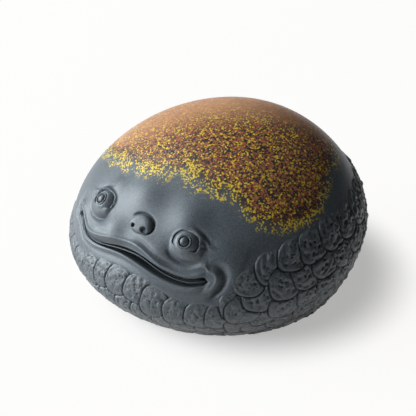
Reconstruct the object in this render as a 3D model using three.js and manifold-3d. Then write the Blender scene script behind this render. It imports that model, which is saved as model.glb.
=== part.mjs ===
// Money toad tea pet: a hollow stoneware pebble with a toad's face in front and a band of
// overlapping pressed warts round its lower half. Millimetres, +Z up, the face looks along -Y.
//
// The body is pressed as three luted pieces: a crown (the dome, down to the mouth line), a belly
// (the wall under it) and a base slab with a vent. Eyes, lids, nose, lips, tongue and cheek folds
// are worked separately and set into seats in the crown, and the warts are pressed on in columns.
import * as THREE from "three";
import { ParametricGeometry } from "three/addons/geometries/ParametricGeometry.js";
import { mergeVertices } from "three/addons/utils/BufferGeometryUtils.js";
import Module from "manifold-3d";

const wasm = await Module();
wasm.setup();

// Body outline: plan at the girth, heights, and how the sides curve
const HALF_WIDTH = 46;
const FRONT_REACH = 43.6;
const BACK_REACH = 41.2;
const HEIGHT = 47.6;
const FRONT_GIRTH_HEIGHT = 9.3;
const BACK_GIRTH_HEIGHT = 26.3;
const CROWN_SHIFT = 15.2;
const FOOT_INSET = 7.8;
const DOME_POWER = 1.74;
const BELLY_POWER = 1.4;

// Clay walls and the joints between the pieces
const WALL = 5;
const SLAB_THICKNESS = 4;
const VENT_DIAMETER = 10;
const LUTE_GAP = 0.3;

// Mouth: its line in the front view, measured from the floor and from the middle of the face
const MOUTH_HALF_WIDTH = 26;
const MOUTH_HEIGHT = 21.4;
const MOUTH_BOW = 1.35;
const MOUTH_DIP_OUT = 18;
const MOUTH_CORNER_RISE = 1.65;
const MOUTH_OPENING = 1.9;
const LIP_RADIUS = 1.3;
const TONGUE_THICKNESS = 0.6;
const TONGUE_DEPTH = 7;
const TONGUE_SETBACK = 1.2;

// Folds that ring the corners of the mouth
const FOLD_RING_RADIUS = 4.6;
const FOLD_RADIUS = 1;
const FOLD_SWEEP = THREE.MathUtils.degToRad(75);

// Coils of clay: how they thin out to their ends, how deep they are sunk and how far a seat overruns
const COIL_TAPER = 0.45;
const COIL_SINK_SHARE = 1 / 3;
const COIL_SEAT_OVERRUN = 0.06;

// Eyes
const EYE_OUT = 15.2;
const EYE_HEIGHT = 29.2;
const EYE_RADIUS = 5;
const EYE_PROUD = 2.5;
const EYE_SEAT_DEPTH = 3.4;
const IRIS_RADIUS = 1.9;
const IRIS_RING_WIDTH = 0.5;
const IRIS_EDGE_HEIGHT = 0.35;
const IRIS_CREST_HEIGHT = 0.55;
const PUPIL_HEIGHT = 0.7;
const PUPIL_EDGE_HEIGHT = 0.5;
const LID_RADIUS = 0.85;
const LID_HALF_WIDTH = 5.3;
const LID_HALF_HEIGHT = 4;
const LID_OUTER_SHIFT = 1;
const UPPER_LID_ARC = [175, -5].map(THREE.MathUtils.degToRad);
const LOWER_LID_ARC = [-20, -150].map(THREE.MathUtils.degToRad);

// Nose
const NOSE_OUT = 0.8;
const NOSE_HEIGHT = 29.2;
const NOSE_HALF_WIDTH = 4.2;
const NOSE_HALF_HEIGHT = 3;
const NOSE_HALF_DEPTH = 3.1;
const NOSE_PROUD = 2.3;
const NOSTRIL_RADIUS = 0.6;
const NOSTRIL_DEPTH = 1.5;
const NOSTRIL_OUT = 1.9;
const NOSTRIL_DROP = 1.1;

// Swellings of the face that the crown itself carries
const BROW_OUT = 11.5;
const BROW_HEIGHT = 34;
const BROW_RELIEF = 1.4;
const BROW_SPREAD = 7;
const MUZZLE_HEIGHT = 25.6;
const MUZZLE_RELIEF = 1.1;
const MUZZLE_SPREAD = 4.5;
const MUZZLE_OUT = 12;
const MUZZLE_INNER_OUT = 4;
const CHEEK_OUT = 26;
const CHEEK_HEIGHT = 26.5;
const CHEEK_RELIEF = 0.7;
const CHEEK_SPREAD = 6;

// Wart band: columns of pressed pellets in a shallow rebate of the body, hung from the band's top. Each
// pellet is tipped, so that one edge laps over the next column and its foot over the row below.
const WART_COLUMNS = 34;
const WART_THICKNESS = 1.1;
const WART_EDGE_INSET = 0.55;
const WART_EDGE_DROP = 0.45;
const WART_SIDE_LAP = 0.65;
const WART_FOOT_LAP = 0.2;
const WART_FILL = 1.14;
const WART_STRETCH = 1.08;
const WART_ROW_SHARE = 0.95;
const WART_SIZE_SPREAD = 0.03;
const WART_LEAST_HEIGHT = 0.5;
const TOP_WART_INSET_AT_JAW = 1;
const TOP_WART_INSET_AT_BACK = 0.6;
const STAGGER_SPREAD = 1.5;
const REBATE = 1.9;
const REBATE_SLOPE_AT_JAW = 2.4;
const REBATE_SLOPE_AT_BACK = 10;
const JAW_STRIP = 3.4;
const JAW_STRIP_AT_CORNER = 5.5;
const BAND_TOP_AT_MOUTH = 20.8;
const BAND_TOP_AT_BACK = 33.8;
const BAND_RISE_ANGLE = THREE.MathUtils.degToRad(18);
const RIGHT_BAND_DELAY = THREE.MathUtils.degToRad(38);

// Facets
const FACE_COLUMN_SPREAD = 1.35;
const FACE_COLUMNS = 24;
const REAR_COLUMNS = 15;
const CROWN_ROWS = 11;
const CROWN_ROW_BIAS = 1.7;
const CROWN_INNER_ROWS = 4;
const BELLY_ROWS = 4;
const LIP_STEPS = 16;
const FOLD_STEPS = 8;
const COIL_SIDES = 6;
const PELLET_SIDES = 7;
const ROUND_SIDES = 12;
const LOWEST_MARK = -1.5;

// Fired clay colours
const CLAY = { color: 0x4a4f53, roughness: 0.55, metalness: 0 };
const DARK_CLAY = { color: 0x2c2f32, roughness: 0.5, metalness: 0 };
const SPECKLED_CLAY = { color: 0x6b4a33, roughness: 0.6, metalness: 0 };

const FRONT = -Math.PI / 2;
const WELD = 1e-3;
const SMALL = 1e-3;
const { clamp, lerp, smoothstep, seededRandom } = THREE.MathUtils;

// Body surface. "turn" is the angle round the body (FRONT faces -Y) and "rise" runs from -1 at the
// foot through 0 at the girth to 1 at the top of the crown.
const footShare = 1 - FOOT_INSET / HALF_WIDTH;

function girthHeight(turn) {
  return lerp(FRONT_GIRTH_HEIGHT, BACK_GIRTH_HEIGHT, (1 + Math.sin(turn)) / 2);
}

function ringScale(rise) {
  if (rise >= 0) {
    return Math.sqrt(Math.max(0, 1 - rise ** DOME_POWER));
  }
  return Math.sqrt(1 - (1 - footShare ** 2) * (-rise) ** BELLY_POWER);
}

function bodyPoint(turn, rise, inset = 0) {
  const scale = ringScale(rise);
  const girth = girthHeight(turn);
  const reach = (Math.sin(turn) < 0 ? FRONT_REACH : BACK_REACH) - inset;
  const shift = rise > 0 ? CROWN_SHIFT * (1 - scale) : 0;
  const height = rise > 0 ? girth + (HEIGHT - inset - girth) * rise : girth * (1 + rise);
  return new THREE.Vector3(
    (HALF_WIDTH - inset) * Math.cos(turn) * scale,
    reach * Math.sin(turn) * scale + shift,
    height,
  );
}

function bodyNormal(turn, rise) {
  if (rise > 1 - 2 * SMALL) {
    return new THREE.Vector3(0, 0, 1);
  }
  const along = bodyPoint(turn + SMALL, rise).sub(bodyPoint(turn - SMALL, rise));
  const up = bodyPoint(turn, rise + SMALL).sub(bodyPoint(turn, rise - SMALL));
  return along.cross(up).normalize();
}

function riseAt(turn, height) {
  const girth = girthHeight(turn);
  return height > girth ? (height - girth) / (HEIGHT - girth) : height / girth - 1;
}

// The place on the face that a front view shows "out" from the middle and "height" over the floor
function facePlace(out, height) {
  const passes = 12;
  let turn = FRONT;
  for (let pass = 0; pass < passes; pass += 1) {
    const ring = HALF_WIDTH * ringScale(riseAt(turn, height));
    turn = -Math.acos(clamp(out / ring, -1, 1));
  }
  return { turn, rise: riseAt(turn, height) };
}

function faceFrame(out, height) {
  const { turn, rise } = facePlace(out, height);
  const normal = bodyNormal(turn, rise);
  const across = new THREE.Vector3(0, 0, 1).cross(normal).normalize();
  const up = normal.clone().cross(across);
  const origin = bodyPoint(turn, rise);
  return { origin, across, up, normal };
}

function frameMatrix({ origin, across, up, normal }, lift = 0) {
  const place = origin.clone().addScaledVector(normal, lift);
  return new THREE.Matrix4().makeBasis(across, up, normal).setPosition(place);
}

// Mouth line and wart band, as heights round the body
const angleFromFront = (turn) => Math.abs(Math.atan2(Math.cos(turn), -Math.sin(turn)));
const mouthRing = HALF_WIDTH * ringScale(riseAt(FRONT, MOUTH_HEIGHT));
const mouthDipAngle = Math.asin(MOUTH_DIP_OUT / mouthRing);
const mouthCornerAngle = Math.asin(MOUTH_HALF_WIDTH / mouthRing);

function seamHeight(turn) {
  const angle = angleFromFront(turn);
  const bow = Math.cos(Math.PI * Math.min(1, angle / mouthDipAngle));
  const corner = smoothstep(angle, mouthDipAngle, mouthCornerAngle);
  return MOUTH_HEIGHT + MOUTH_BOW * bow + MOUTH_CORNER_RISE * corner;
}

function seamGap(turn) {
  const closing = smoothstep(angleFromFront(turn), mouthDipAngle, mouthCornerAngle);
  return lerp(MOUTH_OPENING, LUTE_GAP, closing);
}

// The band climbs beside the mouth on the toad's left and only farther back on its right.
function bandTop(turn) {
  const angle = angleFromFront(turn);
  const delay = Math.cos(turn) < 0 ? RIGHT_BAND_DELAY : 0;
  const past = Math.max(0, angle - mouthCornerAngle - delay);
  const widening = smoothstep(angle, mouthDipAngle / 2, mouthCornerAngle);
  const jaw = seamHeight(turn) - lerp(JAW_STRIP, JAW_STRIP_AT_CORNER, widening);
  const climb = 1 - Math.exp(-past / BAND_RISE_ANGLE);
  const flank = lerp(BAND_TOP_AT_MOUTH, BAND_TOP_AT_BACK, climb);
  const join = FOLD_RING_RADIUS / mouthRing;
  return lerp(jaw, flank, smoothstep(past, join / 2, join * 2));
}

// Swellings of the face
const swellings = [];

function addSwelling(out, height, relief, spread) {
  swellings.push({ centre: faceFrame(out, height).origin, relief, spread });
}

for (const side of [-1, 1]) {
  addSwelling(side * BROW_OUT, BROW_HEIGHT, BROW_RELIEF, BROW_SPREAD);
  addSwelling(side * CHEEK_OUT, CHEEK_HEIGHT, CHEEK_RELIEF, CHEEK_SPREAD);
  addSwelling(side * MUZZLE_OUT, MUZZLE_HEIGHT, MUZZLE_RELIEF, MUZZLE_SPREAD);
  addSwelling(side * MUZZLE_INNER_OUT, MUZZLE_HEIGHT, MUZZLE_RELIEF, MUZZLE_SPREAD);
}

function swelling(point) {
  return swellings.reduce((sum, { centre, relief, spread }) => {
    return sum + relief * Math.exp(-centre.distanceToSquared(point) / spread ** 2);
  }, 0);
}

// Outer skin: the body with its swellings, set back where the warts lie. Under the girth the skin
// moves level, so that the foot stays flat. "grow" is a clearance over the skin.
function skin(turn, rise, grow = 0) {
  const point = bodyPoint(turn, rise);
  const out = bodyNormal(turn, rise);
  const top = bandTop(turn) + LUTE_GAP;
  const slope = lerp(
    REBATE_SLOPE_AT_JAW,
    REBATE_SLOPE_AT_BACK,
    smoothstep(angleFromFront(turn), mouthCornerAngle, 2 * mouthCornerAngle),
  );
  const setBack = REBATE * (1 - smoothstep(point.z, top, top + slope));
  if (rise < 0) {
    out.setZ(0).divideScalar(out.lengthSq());
  }
  return point.addScaledVector(out, swelling(point) + grow - setBack);
}

// Solids
function solid(geometry) {
  const bare = geometry.clone();
  bare.deleteAttribute("normal");
  bare.deleteAttribute("uv");
  const welded = mergeVertices(bare, WELD);
  const corners = welded.index.array;
  const triangles = [];
  for (let i = 0; i < corners.length; i += 3) {
    const [a, b, c] = corners.slice(i, i + 3);
    if (a !== b && b !== c && c !== a) {
      triangles.push(a, b, c);
    }
  }
  const vertProperties = welded.attributes.position.array;
  const closed = (order) => new wasm.Manifold(
    new wasm.Mesh({ numProp: 3, vertProperties, triVerts: new Uint32Array(order) }),
  );
  const made = closed(triangles);
  return made.volume() > 0 ? made : closed(triangles.reverse());
}

function surface(columns, rows, place) {
  const geometry = new ParametricGeometry((u, v, target) => target.copy(place(u, v)), columns, rows);
  return solid(geometry);
}

// Crossing seats can leave loose crumbs of clay, which are brushed off.
function withoutCrumbs(made) {
  const bodies = made.decompose();
  return bodies.reduce((most, body) => (body.volume() > most.volume() ? body : most));
}

const toad = new THREE.Group();

function addPart(name, made, finish) {
  const { vertProperties, triVerts } = withoutCrumbs(made).getMesh();
  const geometry = new THREE.BufferGeometry();
  geometry.setAttribute("position", new THREE.BufferAttribute(vertProperties, 3));
  geometry.setIndex(new THREE.BufferAttribute(triVerts, 1));
  geometry.computeVertexNormals();
  const part = new THREE.Mesh(geometry, new THREE.MeshStandardMaterial(finish));
  part.name = name;
  toad.add(part);
}

// Columns of facets lie closer together across the face than round the back.
const faceHalfAngle = mouthCornerAngle * FACE_COLUMN_SPREAD;

function turnAt(u) {
  const columns = FACE_COLUMNS + REAR_COLUMNS;
  const column = u * columns;
  if (column <= FACE_COLUMNS) {
    return FRONT + faceHalfAngle * (2 * column / FACE_COLUMNS - 1);
  }
  const rear = 2 * (Math.PI - faceHalfAngle);
  return FRONT + faceHalfAngle + rear * (column - FACE_COLUMNS) / REAR_COLUMNS;
}

const RING_COLUMNS = FACE_COLUMNS + REAR_COLUMNS;

// Crown: outer skin from the mouth line to the top, and the wall's inside back down to the rim
function crownShell(grow = 0) {
  const rows = CROWN_ROWS + CROWN_INNER_ROWS + 1;
  return surface(RING_COLUMNS, rows, (u, v) => {
    const turn = turnAt(u);
    const rim = seamHeight(turn) + seamGap(turn) / 2 - grow;
    const row = Math.round(v * rows);
    const outer = row <= CROWN_ROWS;
    const step = outer ? 1 - row / CROWN_ROWS : (row - CROWN_ROWS - 1) / CROWN_INNER_ROWS;
    const rise = lerp(riseAt(turn, rim), 1, 1 - (1 - step) ** CROWN_ROW_BIAS);
    const place = outer ? skin(turn, rise, grow) : bodyPoint(turn, rise, WALL);
    return step === 0 ? place.setZ(rim) : place;
  });
}

// Belly: a ring of wall from the slab to the mouth line
function bellyShell(grow = 0) {
  const rows = 2 * BELLY_ROWS + 2;
  return surface(RING_COLUMNS, rows, (u, v) => {
    const turn = turnAt(u);
    const top = seamHeight(turn) - seamGap(turn) / 2 + grow;
    const row = Math.round(v * rows) % rows;
    const outer = row <= BELLY_ROWS;
    const step = outer ? row : rows - 1 - row;
    const ledge = Math.min(bandTop(turn), top - LIP_RADIUS);
    const height = step < BELLY_ROWS ? lerp(SLAB_THICKNESS, ledge, step / (BELLY_ROWS - 1)) : top;
    const place = outer
      ? skin(turn, riseAt(turn, height), grow)
      : bodyPoint(turn, riseAt(turn, height), WALL);
    return place.setZ(height);
  });
}

// Base slab with its kiln vent
function baseSlab() {
  const rows = 4;
  const slab = surface(RING_COLUMNS, rows, (u, v) => {
    const turn = turnAt(u);
    const row = Math.round(v * rows);
    const height = row < rows / 2 ? 0 : SLAB_THICKNESS;
    const spread = row === 0 || row === rows ? 0 : 1;
    const edge = skin(turn, riseAt(turn, row === rows / 2 ? SLAB_THICKNESS : height));
    return edge.multiplyScalar(spread).setZ(height);
  });
  const vent = new THREE.CylinderGeometry(
    VENT_DIAMETER / 2, VENT_DIAMETER / 2, SLAB_THICKNESS * 3, ROUND_SIDES,
  );
  return slab.subtract(solid(vent.rotateX(Math.PI / 2)));
}

// A coil of clay along a path on the face: it swells from a point at one end and back at the other
function coil(path, radius, steps) {
  return surface(steps, COIL_SIDES, (u, v) => {
    const here = path(u);
    const ahead = path(Math.min(1, u + SMALL)).origin.clone();
    const along = ahead.sub(path(Math.max(0, u - SMALL)).origin).normalize();
    const side = along.clone().cross(here.normal).normalize();
    const size = radius * Math.max(0, Math.sin(Math.PI * u)) ** COIL_TAPER;
    const angle = 2 * Math.PI * v;
    return here.origin.clone()
      .addScaledVector(here.normal, size * Math.cos(angle))
      .addScaledVector(side, -size * Math.sin(angle));
  });
}

// The coil and the seat that its neighbours keep clear for it
function seatedCoil(pathOver, radius, steps) {
  return {
    body: coil(pathOver(0), radius, steps),
    seat: coil(pathOver(COIL_SEAT_OVERRUN), radius + LUTE_GAP, steps),
  };
}

// Lips: coils along the two rims of the mouth
function lip(side) {
  const pathOver = (spare) => (u) => {
    const turn = FRONT + mouthCornerAngle * (1 + spare) * (2 * u - 1);
    const height = seamHeight(turn) + side * (seamGap(turn) / 2 + LIP_RADIUS);
    const rise = riseAt(turn, height);
    const normal = bodyNormal(turn, rise);
    const sink = -LIP_RADIUS * COIL_SINK_SHARE;
    return { origin: bodyPoint(turn, rise).addScaledVector(normal, sink), normal };
  };
  return seatedCoil(pathOver, LIP_RADIUS, LIP_STEPS);
}

// A place on the skin that a front view shows, for a coil of that radius that is sunk a little
function coilPlace(out, height, radius) {
  const { turn, rise } = facePlace(out, height);
  const normal = bodyNormal(turn, rise);
  return { origin: skin(turn, rise).addScaledVector(normal, -radius * COIL_SINK_SHARE), normal };
}

// Folds that ring the corners of the mouth
function cheekFold(side) {
  const pathOver = (spare) => (u) => {
    const angle = FOLD_SWEEP * (1 + spare) * (2 * u - 1);
    const out = side * (MOUTH_HALF_WIDTH - LIP_RADIUS + FOLD_RING_RADIUS * Math.cos(angle));
    return coilPlace(out, MOUTH_HEIGHT + FOLD_RING_RADIUS * Math.sin(angle), FOLD_RADIUS);
  };
  return seatedCoil(pathOver, FOLD_RADIUS, FOLD_STEPS);
}

// Tongue: a thin plate that follows the mouth line, its edge just inside the lips
function tongue() {
  const half = TONGUE_THICKNESS / 2;
  const back = TONGUE_SETBACK + TONGUE_DEPTH;
  const section = [[TONGUE_SETBACK, half], [back, half], [back, -half], [TONGUE_SETBACK, -half]];
  return surface(LIP_STEPS, section.length, (u, v) => {
    const turn = FRONT + mouthDipAngle * (2 * u - 1);
    const seam = seamHeight(turn);
    const [depth, height] = section[Math.round(v * section.length) % section.length];
    const atTip = u === 0 || u === 1;
    return bodyPoint(turn, riseAt(turn, seam), depth).setZ(atTip ? seam : seam + height);
  });
}

// Eyes: a pellet with a flat back, set in the crown, with an iris ring and a pupil let into it
function revolve(points, sides) {
  const profile = points.map(([radius, height]) => new THREE.Vector2(radius, height));
  return new THREE.LatheGeometry(profile, sides).rotateX(Math.PI / 2);
}

function eyePellet(frame, clearance) {
  const rings = 6;
  const radius = EYE_RADIUS + clearance;
  const back = EYE_SEAT_DEPTH + EYE_PROUD - EYE_RADIUS + clearance;
  const start = Math.acos(clamp(back / radius, -1, 1));
  const points = [[0, -back]];
  for (let ring = 0; ring <= rings; ring += 1) {
    const angle = lerp(Math.PI - start, 0, ring / rings);
    points.push([ring === rings ? 0 : radius * Math.sin(angle), radius * Math.cos(angle)]);
  }
  const pellet = revolve(points, ROUND_SIDES);
  return solid(pellet.applyMatrix4(frameMatrix(frame, EYE_PROUD - EYE_RADIUS)));
}

function eye(side) {
  const frame = faceFrame(side * EYE_OUT, EYE_HEIGHT);
  const seatRadius = IRIS_RADIUS + LUTE_GAP;
  const floor = Math.sqrt(EYE_RADIUS ** 2 - seatRadius ** 2) - LUTE_GAP;
  const deep = EYE_RADIUS;
  const pupilRadius = IRIS_RADIUS - IRIS_RING_WIDTH - LUTE_GAP;
  const seat = revolve([[0, 0], [seatRadius, 0], [seatRadius, deep], [0, deep]], ROUND_SIDES);
  const ring = revolve([
    [IRIS_RADIUS - IRIS_RING_WIDTH, 0],
    [IRIS_RADIUS, 0],
    [IRIS_RADIUS, IRIS_EDGE_HEIGHT],
    [IRIS_RADIUS - IRIS_RING_WIDTH / 2, IRIS_CREST_HEIGHT],
    [IRIS_RADIUS - IRIS_RING_WIDTH, IRIS_EDGE_HEIGHT],
    [IRIS_RADIUS - IRIS_RING_WIDTH, 0],
  ], ROUND_SIDES);
  const pupil = revolve([
    [0, 0],
    [pupilRadius, 0],
    [pupilRadius, PUPIL_EDGE_HEIGHT],
    [0, PUPIL_HEIGHT],
  ], ROUND_SIDES);
  const middle = EYE_PROUD - EYE_RADIUS;
  const place = frameMatrix(frame, middle + floor);
  const above = frameMatrix(frame, middle + floor + LUTE_GAP / 2);
  return {
    ball: eyePellet(frame, 0).subtract(solid(seat.applyMatrix4(place))),
    seat: eyePellet(frame, LUTE_GAP),
    iris: solid(ring.applyMatrix4(above)),
    pupil: solid(pupil.applyMatrix4(above)),
  };
}

// Eyelids: coils over and under the eye pellet, drawn out to the outer corner
function eyelid(side, from, to) {
  const pathOver = (spare) => (u) => {
    const angle = lerp(from, to, u * (1 + 2 * spare) - spare);
    const out = side * (EYE_OUT + LID_OUTER_SHIFT + LID_HALF_WIDTH * Math.cos(angle));
    return coilPlace(out, EYE_HEIGHT + LID_HALF_HEIGHT * Math.sin(angle), LID_RADIUS);
  };
  return seatedCoil(pathOver, LID_RADIUS, FOLD_STEPS);
}

// Nose: a flattened knob with two blind nostrils
function nose() {
  const frame = faceFrame(NOSE_OUT, NOSE_HEIGHT);
  const knob = (clearance) => solid(
    new THREE.SphereGeometry(1, ROUND_SIDES, ROUND_SIDES / 2)
      .scale(NOSE_HALF_WIDTH + clearance, NOSE_HALF_HEIGHT + clearance, NOSE_HALF_DEPTH + clearance)
      .applyMatrix4(frameMatrix(frame, NOSE_PROUD - NOSE_HALF_DEPTH)),
  );
  let body = knob(0);
  for (const side of [-1, 1]) {
    const nostril = new THREE.CylinderGeometry(
      NOSTRIL_RADIUS, NOSTRIL_RADIUS / 2, 2 * NOSTRIL_DEPTH, PELLET_SIDES,
    );
    const spot = new THREE.Matrix4().makeTranslation(side * NOSTRIL_OUT, -NOSTRIL_DROP, NOSE_PROUD);
    nostril.rotateX(Math.PI / 2).applyMatrix4(spot).applyMatrix4(frameMatrix(frame));
    body = body.subtract(solid(nostril));
  }
  return { body, seat: knob(LUTE_GAP) };
}

// Warts: pellets lapped down each column, from the top of the band to the foot, where the last one is
// cut off level with the floor. Behind the mouth every other column hangs half a row lower.
const girthPlan = new THREE.CurvePath();
girthPlan.add(new THREE.EllipseCurve(0, 0, HALF_WIDTH, FRONT_REACH, FRONT, 0));
girthPlan.add(new THREE.EllipseCurve(0, 0, HALF_WIDTH, BACK_REACH, 0, Math.PI));
girthPlan.add(new THREE.EllipseCurve(0, 0, HALF_WIDTH, FRONT_REACH, Math.PI, 3 * Math.PI / 2));
const columnPitch = girthPlan.getLength() / WART_COLUMNS;
const wartRadius = columnPitch * WART_FILL / 2;
const wartHalfHeight = wartRadius * WART_STRETCH;
const rowPitch = columnPitch * WART_ROW_SHARE;
const floorBlock = solid(
  new THREE.BoxGeometry(4 * HALF_WIDTH, 4 * HALF_WIDTH, HEIGHT).translate(0, 0, -HEIGHT / 2),
);

function columnTurn(column) {
  const { x, y } = girthPlan.getPointAt(column / WART_COLUMNS);
  return Math.atan2(y / (y < 0 ? FRONT_REACH : BACK_REACH), x / HALF_WIDTH);
}

// Marks up the wall at one turn, from under the floor: the way from the foot, each stretch counted as it
// is at the girth
function wallMarks(turn) {
  const stride = 0.002;
  const steps = Math.round((1 - LOWEST_MARK) / stride);
  const marks = [];
  let way = 0;
  for (let step = 0; step < steps; step += 1) {
    const rise = LOWEST_MARK + step * stride;
    marks.push({ rise, way });
    way += bodyPoint(turn, rise).distanceTo(bodyPoint(turn, rise + stride)) / ringScale(rise);
  }
  const foot = marks.find(({ rise }) => rise >= -1).way;
  return marks.map((mark) => ({ rise: mark.rise, way: mark.way - foot }));
}

const riseAtWay = (marks, way) => marks.find((mark) => mark.way >= way).rise;

// A pressed pellet, bent round the body
function wartPellet(turn, marks, way, draw) {
  const rise = riseAtWay(marks, way);
  const scale = ringScale(rise);
  const radius = wartRadius * scale * (1 - WART_SIZE_SPREAD * draw);
  const perTurn = bodyPoint(turn + SMALL, rise).distanceTo(bodyPoint(turn - SMALL, rise)) / (2 * SMALL);
  const lift = LUTE_GAP + WART_SIDE_LAP + WART_FOOT_LAP - REBATE;
  const pellet = revolve([
    [0, 0],
    [radius, 0],
    [radius - WART_EDGE_INSET, WART_THICKNESS - WART_EDGE_DROP],
    [0, WART_THICKNESS],
  ], PELLET_SIDES).rotateZ(2 * Math.PI * draw);
  const places = pellet.attributes.position;
  for (let i = 0; i < places.count; i += 1) {
    const across = places.getX(i);
    const up = places.getY(i) * WART_STRETCH;
    const tip = (WART_SIDE_LAP * across + WART_FOOT_LAP * up) / radius;
    const here = turn + across / perTurn;
    const hereRise = riseAtWay(marks, way + up / scale);
    const place = bodyPoint(here, hereRise)
      .addScaledVector(bodyNormal(here, hereRise), lift + places.getZ(i) - tip);
    places.setXYZ(i, ...place);
  }
  return solid(pellet);
}

function wartColumn(column) {
  const turn = columnTurn(column);
  const mirrorColumn = Math.min(column, WART_COLUMNS - column);
  const marks = wallMarks(turn);
  const staggered = STAGGER_SPREAD * mouthCornerAngle;
  const behind = smoothstep(angleFromFront(turn), mouthCornerAngle, staggered);
  const top = marks.findLast(({ rise }) => bodyPoint(turn, rise).z <= bandTop(turn));
  const inset = lerp(TOP_WART_INSET_AT_JAW, TOP_WART_INSET_AT_BACK, behind);
  const lowered = column % 2 === 1 ? behind * rowPitch / 2 : 0;
  const highest = top.way - inset * wartHalfHeight - lowered;
  const rows = Math.floor((highest - WART_LEAST_HEIGHT) / rowPitch) + 1;
  let joined = null;
  for (let row = 0; row < rows; row += 1) {
    const draw = seededRandom(1 + mirrorColumn * WART_COLUMNS + row);
    const pellet = wartPellet(turn, marks, highest - row * rowPitch, draw);
    joined = joined ? joined.add(pellet) : pellet;
  }
  return joined.subtract(floorBlock);
}

// Assembly
const sides = { left: 1, right: -1 };
const knob = nose();
const upperLip = lip(1);
const lowerLip = lip(-1);
let crown = crownShell().subtract(knob.seat).subtract(upperLip.seat);
let belly = bellyShell().subtract(lowerLip.seat);
let wartLimit = crownShell(LUTE_GAP).add(bellyShell(LUTE_GAP)).add(lowerLip.seat);

for (const [name, side] of Object.entries(sides)) {
  const { ball, seat, iris, pupil } = eye(side);
  const upper = eyelid(side, ...UPPER_LID_ARC);
  const lower = eyelid(side, ...LOWER_LID_ARC);
  const fold = cheekFold(side);
  crown = crown.subtract(seat).subtract(upper.seat).subtract(lower.seat).subtract(fold.seat);
  belly = belly.subtract(fold.seat);
  wartLimit = wartLimit.add(fold.seat);
  addPart(`eyeball_${name}`, ball, CLAY);
  addPart(`iris_${name}`, iris, CLAY);
  addPart(`pupil_${name}`, pupil, DARK_CLAY);
  addPart(`upper_eyelid_${name}`, upper.body.subtract(seat).subtract(lower.seat), CLAY);
  addPart(`lower_eyelid_${name}`, lower.body.subtract(seat), CLAY);
  addPart(`cheek_fold_${name}`, fold.body.subtract(upperLip.seat).subtract(lowerLip.seat), CLAY);
}

addPart("crown_shell", crown, SPECKLED_CLAY);
addPart("belly_shell", belly, CLAY);
addPart("base_slab", baseSlab(), CLAY);
addPart("nose", knob.body, CLAY);
addPart("upper_lip", upperLip.body.subtract(lowerLip.seat), CLAY);
addPart("lower_lip", lowerLip.body, CLAY);
addPart("tongue", tongue(), CLAY);

for (let column = 0; column < WART_COLUMNS; column += 1) {
  const strip = wartColumn(column).subtract(wartLimit);
  addPart(`wart_strip_${String(column + 1).padStart(2, "0")}`, strip, CLAY);
}

// The origin is under the middle of the finished figure.
const middle = new THREE.Box3().setFromObject(toad).getCenter(new THREE.Vector3());
toad.position.set(-middle.x, -middle.y, 0);

export default toad;
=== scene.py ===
"""Money toad tea pet: the looks of a small fired clay toad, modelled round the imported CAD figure.

The toad faces -Y and its left side is +X. Shapes are worked out in millimetres on the plain round body
and turned into metres when a piece is made.
"""

import math
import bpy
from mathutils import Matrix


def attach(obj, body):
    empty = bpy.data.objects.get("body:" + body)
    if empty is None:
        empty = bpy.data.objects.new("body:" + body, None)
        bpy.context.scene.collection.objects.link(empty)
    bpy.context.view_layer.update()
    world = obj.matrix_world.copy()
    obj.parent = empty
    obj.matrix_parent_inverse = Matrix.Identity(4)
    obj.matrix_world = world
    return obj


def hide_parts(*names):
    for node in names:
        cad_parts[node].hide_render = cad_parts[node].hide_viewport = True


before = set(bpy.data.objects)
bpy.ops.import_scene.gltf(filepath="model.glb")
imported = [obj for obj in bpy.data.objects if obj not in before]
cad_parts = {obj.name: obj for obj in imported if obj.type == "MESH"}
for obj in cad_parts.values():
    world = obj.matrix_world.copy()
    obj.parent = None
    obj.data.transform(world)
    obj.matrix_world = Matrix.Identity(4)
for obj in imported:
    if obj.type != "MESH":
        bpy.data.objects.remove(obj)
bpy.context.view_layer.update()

from types import SimpleNamespace

import bpy
import numpy as np
from bpy.props import FloatProperty, FloatVectorProperty, IntProperty, PointerProperty
from mathutils import Matrix, Vector

bl_info = {
    "name": "Money Toad Tea Pet",
    "version": (1, 0, 0),
    "blender": (4, 5, 0),
    "location": "3D View > Sidebar > Toad",
    "description": "Models a clay toad with an open mouth, a warty skirt and a speckled back",
    "category": "Object",
}

MM = 0.001
FRONT = -math.pi / 2
SIDES = {"left": 1, "right": -1}
FIRST_SEED = 700


def length(name, description, millimetres):
    """A length in the panel, given in millimetres."""
    return FloatProperty(
        name=name, description=description, default=millimetres * MM, unit="LENGTH", precision=5
    )


def turning(name, description, degrees):
    """An angle in the panel, given in degrees."""
    return FloatProperty(
        name=name, description=description, default=math.radians(degrees), unit="ROTATION"
    )


def share(name, description, value):
    """A plain number in the panel."""
    return FloatProperty(name=name, description=description, default=value, precision=3)


def count(name, description, value):
    """A whole number in the panel."""
    return IntProperty(name=name, description=description, default=value, min=1)


def colour(name, description, value):
    """A colour in the panel."""
    return FloatVectorProperty(
        name=name, description=description, default=value, subtype="COLOR", min=0, max=1
    )


def position(name, description, metres):
    """A place in the panel, given in metres."""
    return FloatVectorProperty(name=name, description=description, default=metres, unit="LENGTH")


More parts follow.
